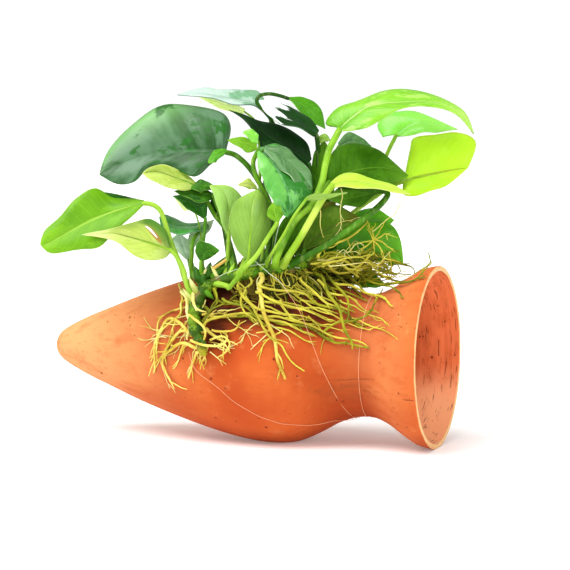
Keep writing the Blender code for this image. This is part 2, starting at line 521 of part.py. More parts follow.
def make_amphora(material, collection, cutters):
    outline = smooth_points(CLAY_OUTLINE, CLAY_RINGS)
    outer = [(axial, max(radius, 0.0)) for axial, radius in outline]
    inner = []
    for axial, radius in reversed(outer):
        wall = between(WALLS, axial)
        if axial > CAVITY_END and radius > wall + LEAST_CAVITY:
            inner.append((axial, radius - wall))
    lip = [(RIM_AT, outer[-1][1] - RIM_ROUNDING), (RIM_AT, inner[0][1] + RIM_ROUNDING)]
    profile = outer + lip + inner + [(CAVITY_END - CAVITY_POINT, 0.0)]
    bm = bmesh.new()
    verts = [bm.verts.new((radius * MM, 0, axial * MM)) for axial, radius in reversed(profile)]
    for start, end in zip(verts, verts[1:]):
        bm.edges.new((start, end))
    amphora = link_mesh("amphora", bm, material, collection)
    amphora.rotation_euler = (0, math.pi / 2, 0)
    amphora.location = (0, 0, AXIS_HEIGHT * MM)
    screw = amphora.modifiers.new("turned", "SCREW")
    screw.steps = CLAY_SIDES
    screw.render_steps = CLAY_SIDES
    screw.use_merge_vertices = True
    screw.merge_threshold = SEAM_MERGE * MM
    bpy.ops.mesh.primitive_cube_add(size=FLOOR_CUTTER * MM, location=(0, 0, -FLOOR_CUTTER * MM / 2))
    cutter = bpy.context.object
    cutter.name = "floor_cutter"
    for owner in list(cutter.users_collection):
        owner.objects.unlink(cutter)
    cutters.objects.link(cutter)
    cutter.hide_render = True
    cutter.display_type = "WIRE"
    worn = amphora.modifiers.new("worn flats", "BOOLEAN")
    worn.operation = "DIFFERENCE"
    worn.object = cutter
    return amphora


def rhizome_line():
    path = []
    for across, height, lift, radius in RHIZOME_PATH:
        path.append((*on_clay(across, height, lift), radius))
    return path


def make_rhizome(path, material, collection):
    rows = smooth_points(path, RHIZOME_RINGS)
    scales = []
    for index, row in enumerate(rows):
        scales.append(row[3] * (1.0 if index % 2 else RING_WAIST))
    scales[0] *= RHIZOME_ENDS
    scales[-1] *= RHIZOME_ENDS
    line = [row[:3] for row in rows]
    return tube("rhizome", line, 1.0, material, collection, scales=scales, resolution=2)


def leave_rhizome(path, place, towards, radius):
    """First two points of a stalk or root: straight out of the rhizome's side, clear of its skin."""
    centre = curve_point(path, place)
    ahead = Vector(curve_point(path, min(place + SPROUT_SPAN, len(path) - 1))[:3])
    behind = Vector(curve_point(path, max(place - SPROUT_SPAN, 0))[:3])
    along = (ahead - behind).normalized()
    middle = Vector(centre[:3])
    way = towards - middle
    if 0 < place < len(path) - 1:
        way = way - along * way.dot(along)
    way.normalize()
    start = centre[3] + GAP
    return [middle + way * start, middle + way * (start + radius + SPROUT_LENGTH)]


def ring_frame(along, side):
    side = (side - along * side.dot(along)).normalized()
    return side, along.cross(side)


def leaf_rings(path, place, radius, stalk, rows):
    """Sections of a stalk that flattens into its blade."""
    base = [seen(*point) for point in stalk]
    points = leave_rhizome(path, place, base[0], radius) + base
    blade = [[seen(*point) for point in row] for row in rows]
    points.append(blade[0][0])
    rings = []
    width = blade[1][1] - blade[1][-1]
    for index in range(len(points) - 1):
        before = points[max(index - 1, 0)]
        after = points[index + 1]
        along = (after - before).normalized()
        side, face = ring_frame(along, width)
        ring = []
        for step in range(SECTION_POINTS):
            angle = math.tau * step / SECTION_POINTS
            ring.append(points[index] + (side * math.cos(angle) + face * math.sin(angle)) * radius)
        rings.append(ring)
    for index, row in enumerate(blade[:-1]):
        middle, left, right = row
        before = blade[index - 1][0] if index else points[-2]
        after = blade[index + 1][0]
        along = (after - before).normalized()
        face = along.cross(left - right).normalized()
        swell = BLADE_THICKNESS / 2 if index else radius * BLADE_ROOT
        edge = EDGE_THICKNESS / 2
        ring = [left]
        ring.append(left.lerp(middle, 0.5) + face * (edge + swell) / 2)
        ring.append(middle + face * swell)
        ring.append(right.lerp(middle, 0.5) + face * (edge + swell) / 2)
        ring.append(right)
        ring.append(right.lerp(middle, 0.5) - face * (edge + swell) / 2)
        ring.append(middle - face * swell)
        ring.append(left.lerp(middle, 0.5) - face * (edge + swell) / 2)
        rings.append(ring)
    rings.append([blade[-1][0]])
    return rings


def make_leaf(leaf, path, materials, collection):
    name, colour, place, radius, stalk, rows = leaf
    rings = leaf_rings(path, place, radius, stalk, rows)
    return loft(name, rings, materials[colour], collection)


def root_way(path, place, radius, points):
    way = []
    for point in points:
        way.append(seen(*point[:3]) if len(point) == 4 else on_clay(*point))
    return leave_rhizome(path, place, way[0], radius) + way


def make_root(root, path, material, collection):
    name, radius, place, points = root
    way = root_way(path, place, radius, points)
    count = len(way) + len(way) // 2
    line = smooth_points([tuple(point) for point in way], count)
    scales = [1.0 - ROOT_THINNING * (i / (count - 1)) ** 2 for i in range(count)]
    return tube(name, line, radius, material, collection, scales=scales)


def whole_turn(points):
    """A loop's points with the last one before and the first two after, so that it closes."""
    axial, degrees, lift = points[-1]
    before = (axial, degrees - 360, lift)
    after = [(axial, degrees + 360, lift) for axial, degrees, lift in points[:2]]
    return [before, *points, *after]


def make_tie(name, closed, points, material, collection):
    if closed:
        around = whole_turn(points)
        places = [1 + len(points) * i / TIE_POINTS for i in range(TIE_POINTS)]
    else:
        around = points
        places = [(len(points) - 1) * i / (TIE_POINTS - 1) for i in range(TIE_POINTS)]
    line = [round_clay(*curve_point(around, place)) for place in places]
    return tube(name, line, TIE_RADIUS, material, collection, closed=closed, resolution=0)


def main():
    remove_everything()
    parts = make_collection("anubias on clay amphora")
    cutters = make_collection("cutters")
    materials = make_materials()
    make_amphora(materials["clay"], parts, cutters)
    path = rhizome_line()
    make_rhizome(path, materials["rhizome"], parts)
    for leaf in LEAVES:
        make_leaf(leaf, path, materials, parts)
    for root in ROOTS:
        make_root(root, path, materials["root"], parts)
    for name, closed, points in TIES:
        make_tie(name, closed, points, materials["line"], parts)


main()
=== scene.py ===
# Anubias tied to a clay amphora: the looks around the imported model.
# The amphora's axis runs along +X, the floor is z = 0 and the plant's front faces -Y.
# Plant places are millimetres as seen from the front: across, height, and away from the viewer.
import math
import random

import bpy
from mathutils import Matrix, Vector


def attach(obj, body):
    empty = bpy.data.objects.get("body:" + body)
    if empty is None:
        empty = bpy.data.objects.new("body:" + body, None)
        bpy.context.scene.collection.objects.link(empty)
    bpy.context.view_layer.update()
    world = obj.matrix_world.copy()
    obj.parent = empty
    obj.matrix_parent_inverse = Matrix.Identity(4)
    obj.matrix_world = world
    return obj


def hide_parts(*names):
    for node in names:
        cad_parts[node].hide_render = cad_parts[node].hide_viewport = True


print("loading the packed model")
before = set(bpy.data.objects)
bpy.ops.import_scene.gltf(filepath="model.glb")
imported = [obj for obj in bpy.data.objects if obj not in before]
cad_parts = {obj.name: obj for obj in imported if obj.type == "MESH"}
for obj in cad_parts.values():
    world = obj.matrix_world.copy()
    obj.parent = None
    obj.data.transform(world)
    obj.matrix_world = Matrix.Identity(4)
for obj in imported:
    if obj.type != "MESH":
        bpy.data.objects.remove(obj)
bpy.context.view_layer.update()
mm = 0.001

view = {
    "turn": 19.5,  # degrees towards the mouth
    "dip": 3.8,  # degrees looking down
    "distance": 800.0,
    "height": 68.6,
    "frameWidth": 250.8,  # what the picture takes in at that distance
    "sensor": 36.0,
}
clay = {
    "axisHeight": 39.0,
    "outline": (
        (-111.0, 0.0), (-109.6, 4.4), (-105.5, 8.0), (-95.0, 13.2), (-82.0, 18.4), (-66.0, 24.6),
        (-48.0, 30.6), (-28.0, 36.2), (-12.0, 39.3), (0.0, 40.0), (8.0, 38.8), (17.0, 34.8),
        (26.0, 29.9), (35.0, 27.1), (43.0, 27.0), (50.5, 30.0), (57.5, 34.6), (63.5, 38.0),
        (69.0, 39.3),
    ),
    "walls": ((-111.0, 2.6), (-60.0, 3.2), (0.0, 3.8), (40.0, 5.2), (60.0, 4.6), (69.0, 2.3)),
    "tipRadius": 0.3,
    "lip": 69.8,
    "lipRounding": 0.5,
    "lipBevel": (0.2, 0.1),  # along the axis and off the radius
    "rootsKeptOff": (-111.0, 69.5),  # from and to, along the axis
    "hollowEnd": -103.0,
    "sides": 112,
    "rings": 73,
}


# Curves and places

def curvePoint(points, place):
    index = max(0, min(int(place), len(points) - 2))
    t = place - index
    around = (points[max(index - 1, 0)], points[index], points[index + 1],
              points[min(index + 2, len(points) - 1)])
    result = []
    for a, b, c, d in zip(*around):
        bend = (2 * a - 5 * b + 4 * c - d) * t * t + (3 * b - a - 3 * c + d) * t * t * t
        result.append(0.5 * (2 * b + (c - a) * t + bend))
    return result


def smoothLine(points, count):
    last = len(points) - 1
    return [Vector(curvePoint(points, last * i / (count - 1))) for i in range(count)]


def between(rows, axial):  # a value read straight between rows of (place, value)
    if axial <= rows[0][0]:
        return rows[0][1]
    for (x0, value0), (x1, value1) in zip(rows, rows[1:]):
        if axial <= x1:
            return value0 + (value1 - value0) * (axial - x0) / (x1 - x0)
    return rows[-1][1]


def clayRadius(axial):
    return between(clay["outline"], axial)


turn = math.radians(view["turn"])
dip = math.radians(view["dip"])
viewRight = Vector((math.cos(turn), math.sin(turn), 0))
viewAhead = Vector((-math.sin(turn) * math.cos(dip), math.cos(turn) * math.cos(dip), -math.sin(dip)))
viewUp = viewRight.cross(viewAhead)
viewTarget = Vector((0, 0, view["height"]))
viewEye = viewTarget - viewAhead * view["distance"]


def seen(across, height, away):  # the world place, in mm, of a point of the front view
    flat = viewTarget + viewRight * across + viewUp * (height - view["height"])
    return viewEye + (flat - viewEye) * (1 + away / view["distance"])


def clearance(place):
    return math.hypot(place.y, place.z - clay["axisHeight"]) - clayRadius(place.x)


def onClay(across, height, lift):  # near side of the clay, as seen at across and height
    near, far = -60.0, -across * math.tan(turn)
    for step in range(32):
        middle = (near + far) / 2
        if clearance(seen(across, height, middle)) > lift:
            near = middle
        else:
            far = middle
    return seen(across, height, near)


def roundClay(axial, degrees, lift):  # degrees run from the top towards the front
    angle = math.radians(degrees)
    reach = clayRadius(axial) + lift
    return Vector((axial, -reach * math.sin(angle), clay["axisHeight"] + reach * math.cos(angle)))


def clayAngle(place):
    return math.degrees(math.atan2(-place.y, place.z - clay["axisHeight"]))


# Meshes

def deselectAll():
    if bpy.context.object and bpy.context.object.mode != "OBJECT":
        bpy.ops.object.mode_set(mode="OBJECT")
    bpy.ops.object.select_all(action="DESELECT")


def pickOnly(piece):
    deselectAll()
    piece.select_set(True)
    bpy.context.view_layer.objects.active = piece


def applyModifiers(piece):
    pickOnly(piece)
    for modifier in list(piece.modifiers):
        bpy.ops.object.modifier_apply(modifier=modifier.name)


def linked(name, data):
    piece = bpy.data.objects.new(name, data)
    bpy.context.scene.collection.objects.link(piece)
    return piece


def joinPieces(name, pieces):
    deselectAll()
    for piece in pieces:
        piece.select_set(True)
    bpy.context.view_layer.objects.active = pieces[0]
    bpy.ops.object.join()
    pieces[0].name = name
    pieces[0].data.name = name
    return pieces[0]


def strands(name, lines, material, roundness=1):  # round strands through (points, radii) in mm
    curve = bpy.data.curves.new(name, "CURVE")
    curve.dimensions = "3D"
    curve.bevel_depth = mm
    curve.bevel_resolution = roundness
    curve.use_fill_caps = True
    for points, radii in lines:
        spline = curve.splines.new("POLY")
        spline.points.add(len(points) - 1)
        for knot, point, radius in zip(spline.points, points, radii):
            knot.co = (*(point * mm), 1.0)
            knot.radius = radius
    pickOnly(linked(name, curve))
    bpy.ops.object.convert(target="MESH")
    piece = bpy.context.object
    piece.data.materials.clear()
    piece.data.materials.append(material)
    bpy.ops.object.shade_smooth()
    return piece


def settle(piece, slot, *nodes):  # rides on the model and stands for the named nodes
    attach(piece, "root")
    if nodes:
        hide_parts(*nodes)


# Shader maths

class Wire:
    def __init__(self, tree, socket):
        self.tree = tree
        self.socket = socket

    def maths(self, operation, first, second):
        node = self.tree.nodes.new("ShaderNodeMath")
        node.operation = operation
        plug(self.tree, node.inputs[0], first)
        plug(self.tree, node.inputs[1], second)
        return Wire(self.tree, node.outputs[0])

    def __add__(self, other):
        return self.maths("ADD", self, other)

    def __radd__(self, other):
        return self.maths("ADD", other, self)

    def __sub__(self, other):
        return self.maths("SUBTRACT", self, other)

    def __rsub__(self, other):
        return self.maths("SUBTRACT", other, self)

    def __mul__(self, other):
        return self.maths("MULTIPLY", self, other)

    def __rmul__(self, other):
        return self.maths("MULTIPLY", other, self)

    def __truediv__(self, other):
        return self.maths("DIVIDE", self, other)

    def __rtruediv__(self, other):
        return self.maths("DIVIDE", other, self)

    def __pow__(self, other):
        return self.maths("POWER", self, other)


def plug(tree, socket, value):
    if isinstance(value, Wire):
        tree.links.new(value.socket, socket)
    else:
        socket.default_value = paint(value) if isinstance(value, str) else value


def paint(code):  # a colour from its six-figure code
    parts = [int(code[i:i + 2], 16) / 255 for i in (0, 2, 4)]
    return (*[c / 12.92 if c <= 0.04045 else ((c + 0.055) / 1.055) ** 2.4 for c in parts], 1.0)


class Finish:  # the nodes that feed one material's shader, or the world's
    def __init__(self, name, constants, world=None):
        self.material = world or bpy.data.materials.new(name)
        self.material.use_nodes = True
        self.tree = self.material.node_tree
        self.shader = self.tree.nodes["Background" if world else "Principled BSDF"]
        for socket, value in constants.items():
            self.feed(socket, value)

    def node(self, kind, settings, values, output=0):
        node = self.tree.nodes.new("ShaderNode" + kind)
        for name, value in settings.items():
            setattr(node, name, value)
        for name, value in values.items():
            plug(self.tree, node.inputs[name], value)
        return Wire(self.tree, node.outputs[output])

    def feed(self, socket, value):
        plug(self.tree, self.shader.inputs[socket], value)

    def objectPlace(self):
        return self.node("TexCoord", {}, {}, "Object")

    def mapped(self, vector, scale=(1, 1, 1), shift=(0, 0, 0)):
        return self.node("Mapping", {}, {"Vector": vector, "Scale": scale, "Location": shift})

    def axes(self, vector):
        return [self.node("SeparateXYZ", {}, {"Vector": vector}, axis) for axis in "XYZ"]

    def noise(self, vector, scale, detail=2.0, roughness=0.5):
        values = {"Vector": vector, "Scale": scale, "Detail": detail, "Roughness": roughness}
        return self.node("TexNoise", {}, values)

    def cells(self, vector, scale):
        return self.node("TexVoronoi", {}, {"Vector": vector, "Scale": scale}, "Distance")

    def rise(self, value, low, high):  # 0 below low, 1 above high, smooth between
        values = {"Value": value, "From Min": low, "From Max": high}
        return self.node("MapRange", {"interpolation_type": "SMOOTHSTEP"}, values)

    def within(self, value, start, full, fade, end):  # 1 from full to fade, 0 before start and past end
        return self.rise(value, start, full) * self.rise(value, end, fade)

    def blend(self, factor, first, second):
        node = self.tree.nodes.new("ShaderNodeMix")
        node.data_type = "RGBA"
        for socket, value in ((node.inputs[0], factor), (node.inputs[6], first), (node.inputs[7], second)):
            plug(self.tree, socket, value)
        return Wire(self.tree, node.outputs[2])

    def lay(self, amount, colour):  # another colour over what is there
        self.colour = self.blend(amount, self.colour, colour)

    def bump(self, height, depth, strength=1.0):
        values = {"Height": height, "Distance": depth, "Strength": strength}
        self.feed("Normal", self.node("Bump", {}, values))


# The clay

clayLook = {
    "body": "C8642C",
    "pale": "E29E66",  # paler clay in spots, and painted light towards the pointed end and the neck
    "red": "B0481C",
    "inside": "DA6E40",
    # painted light on the lower inside wall
    "insideLit": "F4A878",
    "shaded": "94360F",
    # painted shade under the plant and in the hollow by its crown
    "plantShade": "2C1006",
    "lip": "E8BE84",
    "speck": "5E2410",
    "stain": "8E4420",
    "roughness": 0.82,
    # in mm along the axis or up from the floor: where each starts, is full, fades and ends
    "neckLight": (24.0, 46.0, 54.0, 76.0),
    "redBand": (6.0, 20.0, 22.0, 34.0),  # heights
    "waistShade": (12.0, 32.0, 40.0, 54.0),
    "plantShadePatch": (-38.0, -29.0, 24.0, 38.0),
    "pressLine": (28.0, 34.0, 44.0, 52.0),
    "pressHeight": 28.4,
    "crack": (63.5, 64.8, 68.2, 69.5),
    "crackHeight": 24.8,
    "stainAt": (36.0, 26.0, 17.0, 4.2),  # middle, height, half length and half height
}


def clayFinish():
    look = clayLook
    finish = Finish("firedClay", {"Roughness": look["roughness"], "Specular IOR Level": 0.12})
    place = finish.objectPlace()
    x, y, z = finish.axes(place)
    along, height = x / mm, z / mm
    cloud = finish.noise(place, 26.0, 3.0, 0.55)
    grain = finish.noise(place, 900.0, 3.0, 0.7)
    mottle = finish.noise(place, 120.0, 4.0, 0.65)
    thrown = finish.noise(finish.mapped(place, (620.0, 22.0, 22.0)), 1.0, 2.0)  # rings of the wheel
    finish.colour = finish.blend(finish.rise(cloud, 0.35, 0.68), look["red"], look["body"])
    # painted light towards the pointed end and the neck
    litEnd = finish.rise(along * -1.0, 16.0, 100.0) * 0.95
    litNeck = finish.within(along, *look["neckLight"]) * 0.28
    finish.lay(litEnd + litNeck, look["pale"])
    finish.lay(finish.rise(mottle, 0.55, 0.78) * 0.35, look["pale"])
    finish.lay(finish.rise(mottle, 0.48, 0.25) * 0.3, look["red"])
    front = finish.rise(y, 0.0, -0.01)
    band = finish.within(height + cloud * 10.0, *look["redBand"])
    finish.lay(band * 0.45, look["red"])
    waist = finish.within(along, *look["waistShade"]) * finish.rise(height, 56.0, 18.0) * front
    finish.lay(waist * 0.85, look["shaded"])
    # painted shade on the front of the clay under the rhizome and its roots
    plantShade = (finish.within(along, *look["plantShadePatch"]) * finish.rise(y, 0.0, -0.006)
            * finish.rise(height + (mottle - 0.5) * 9.0, 47.0, 58.0))
    finish.lay(plantShade * 0.92, look["plantShade"])
    # painted shadow in the hollow below the crown of roots
    crown = tuple(onClay(-30.5, 46.5, 0.0) * mm)
    fromCrownShade = finish.node("VectorMath", {"operation": "DISTANCE"}, {0: place, 1: crown}, "Value") / mm
    finish.lay(finish.rise(fromCrownShade + mottle * 5.0, 12.0, 5.0) * 0.85, look["plantShade"])
    # painted shade on the underside, darker towards the floor
    under = finish.rise(height, 11.0, 0.0) * finish.rise(along, -40.0, 0.0)
    finish.lay(under * 0.5, look["shaded"])

    # inside or outside: the distance from the axis against a curve along the middle of the wall
    aboveAxis = z - clay["axisHeight"] * mm
    outline = finish.node("Math", {"operation": "SQRT"}, {0: (y * y + aboveAxis * aboveAxis) / (mm * mm)})
    curveStart, curveLength, curveTop = -120.0, 200.0, 45.0
    wallMiddle = finish.node("FloatCurve", {}, {"Value": (along - curveStart) / curveLength})
    mapping = wallMiddle.socket.node.mapping
    knots = mapping.curves[0].points
    rows = [(axial, radius - between(clay["walls"], axial) / 2) for axial, radius in clay["outline"][2:]]
    knots[0].location = (0.0, 0.5 / curveTop)
    knots[-1].location = (1.0, rows[-1][1] / curveTop)
    for axial, radius in rows:
        knots.new((axial - curveStart) / curveLength, radius / curveTop)
    mapping.update()
    inner = finish.rise(wallMiddle * curveTop - outline, -0.2, 0.6) * finish.rise(along, -108.0, -104.0)
    streak = finish.rise(thrown, 0.42, 0.66)
    insideColour = finish.blend(streak * 0.35 + finish.rise(mottle, 0.5, 0.7) * 0.4, look["inside"],
                                look["red"])
    # painted light on the lower inside wall, where light falls in through the mouth
    litLowInside = finish.rise(height + mottle * 7.0, 38.0, 19.0)
    insideColour = finish.blend(litLowInside * 0.92, insideColour, look["insideLit"])
    # painted shade deeper inside, less where the low wall is painted lit
    deepInsideShade = finish.rise(along, 66.0, 50.0) * (0.54 - litLowInside * 0.42)
    insideColour = finish.blend(deepInsideShade, insideColour, look["shaded"])
    scrape = finish.noise(finish.mapped(place, (1500.0, 85.0, 85.0)), 1.0, 2.0)
    coarse = finish.noise(finish.mapped(place, (500.0, 160.0, 160.0), (0.4, 0.2, 0.9)), 1.0, 3.0)
    scratches = finish.rise(scrape, 0.6, 0.65) * finish.rise(coarse, 0.42, 0.52) * inner
    insideColour = finish.blend(finish.rise(coarse, 0.58, 0.72) * 0.3, insideColour, look["shaded"])
    insideColour = finish.blend(scratches * 0.62, insideColour, look["speck"])
    finish.lay(inner, insideColour)
    # painted highlight along the face of the lip
    lip = finish.rise(along + mottle * 0.6, 69.75, 70.05)
    finish.lay(lip * 0.9, look["lip"])

    pits = finish.rise(finish.cells(place, 260.0), 0.16, 0.09) * finish.rise(mottle, 0.52, 0.6)
    bigPits = finish.rise(finish.cells(place, 95.0), 0.085, 0.045)
    specks = finish.rise(finish.cells(finish.mapped(place, shift=(0.3, 0.1, 0.2)), 330.0), 0.17, 0.1)
    innerPits = finish.rise(finish.cells(finish.mapped(place, (0.6, 1.0, 1.0)), 420.0), 0.2, 0.12)
    dots = pits + bigPits + innerPits * inner * finish.rise(coarse, 0.45, 0.6) * 0.4
    marks = dots + specks * finish.rise(cloud, 0.5, 0.62) * 0.6
    finish.lay(finish.rise(marks, 0.1, 1.0) * 0.8, look["speck"])

    smoothed = finish.noise(finish.mapped(place, (9.0, 190.0, 190.0), (0.3, 0.7, 0.1)), 1.0, 3.0)  # by hand
    finish.lay(finish.rise(smoothed, 0.5, 0.68) * (1.0 - inner) * 0.26, look["red"])

    def thinMark(sway, level, reach, stretch):  # a line along the front
        across = finish.within(sway, level - reach, level, level, level + reach)
        return across * finish.within(along, *look[stretch]) * front

    wobble = height + (mottle - 0.5) * 1.2 - along * 0.07
    line = thinMark(wobble, look["pressHeight"], 0.4, "pressLine")
    middle, low, halfLength, halfHeight = look["stainAt"]
    far = ((along - middle) * (along - middle) / halfLength ** 2
           + (height - low) * (height - low) / halfHeight ** 2)
    stain = finish.rise(far + mottle * 1.2, 1.8, 0.7) * front
    scuff = finish.noise(finish.mapped(place, (70.0, 600.0, 600.0), (0.1, 0.5, 0.2)), 1.0, 4.0, 0.65)
    finish.lay(finish.rise(scuff, 0.52, 0.72) * (1.0 - inner) * 0.3, look["red"])
    finish.lay(stain * finish.rise(scuff, 0.4, 0.62) * 0.7 + line * 0.85, look["stain"])
    crack = thinMark(height + (mottle - 0.5) * 2.0, look["crackHeight"], 0.35, "crack")
    finish.lay(crack * 0.8, look["speck"])
    finish.feed("Base Color", finish.colour)
    finish.feed("Roughness", look["roughness"] + (mottle - 0.5) * 0.2)
    relief = mottle * 0.5 + grain * 0.22 + thrown * 0.25 - dots * 1.1 - line * 0.9 - crack - scratches
    finish.bump(relief, 0.0006, 0.5)
    return finish.material


def makeAmphora(material):
    outer = smoothLine(clay["outline"], clay["rings"])[1:]
    inner = [(axial, radius - between(clay["walls"], axial)) for axial, radius in reversed(outer)
             if axial > clay["hollowEnd"] and radius > between(clay["walls"], axial) + 2]
    lip, rounding = clay["lip"], clay["lipRounding"]
    bevelBack, bevelIn = clay["lipBevel"]
    outerLip, innerLip = outer[-1][1], inner[0][1]
    steps = [tuple(row) for row in outer]
    steps += [(lip - bevelBack, outerLip - bevelIn), (lip, outerLip - rounding)]
    steps += [(lip, innerLip + rounding), (lip - bevelBack, innerLip + bevelIn)]
    steps += inner
    tip = clay["outline"][0][0]
    centre = (tip * mm, 0, clay["axisHeight"] * mm)
    deselectAll()
    bpy.ops.mesh.primitive_circle_add(vertices=clay["sides"], radius=clay["tipRadius"] * mm,
                                      fill_type="TRIFAN", location=centre, rotation=(0, math.pi / 2, 0))
    piece = bpy.context.object
    bpy.ops.object.transform_apply(location=True, rotation=True, scale=True)
    bpy.ops.object.mode_set(mode="EDIT")
    bpy.ops.mesh.select_mode(type="EDGE")
    bpy.ops.mesh.select_all(action="DESELECT")
    bpy.ops.mesh.select_non_manifold()
    lastAxial, lastRadius = tip, clay["tipRadius"]
    for axial, radius in steps:
        middle = (axial * mm, 0, clay["axisHeight"] * mm)
        bpy.ops.mesh.extrude_region_move(TRANSFORM_OT_translate={"value": ((axial - lastAxial) * mm, 0, 0)})
        grow = radius / lastRadius
        bpy.ops.transform.resize(value=(1, grow, grow), center_override=middle)
        lastAxial, lastRadius = axial, radius
    bpy.ops.mesh.merge(type="CENTER")
    bpy.ops.mesh.select_all(action="SELECT")
    bpy.ops.mesh.normals_make_consistent(inside=False)
    bpy.ops.object.mode_set(mode="OBJECT")
    for vertex in piece.data.vertices:
        vertex.co.z = max(vertex.co.z, 0.0)  # the worn flats under the belly and the rim
    bpy.ops.object.shade_smooth()
    piece.name = "amphoraClay"
    piece.data.materials.append(material)
    settle(piece, "clay", "amphora")


# Leaves, stalks, rhizome and roots

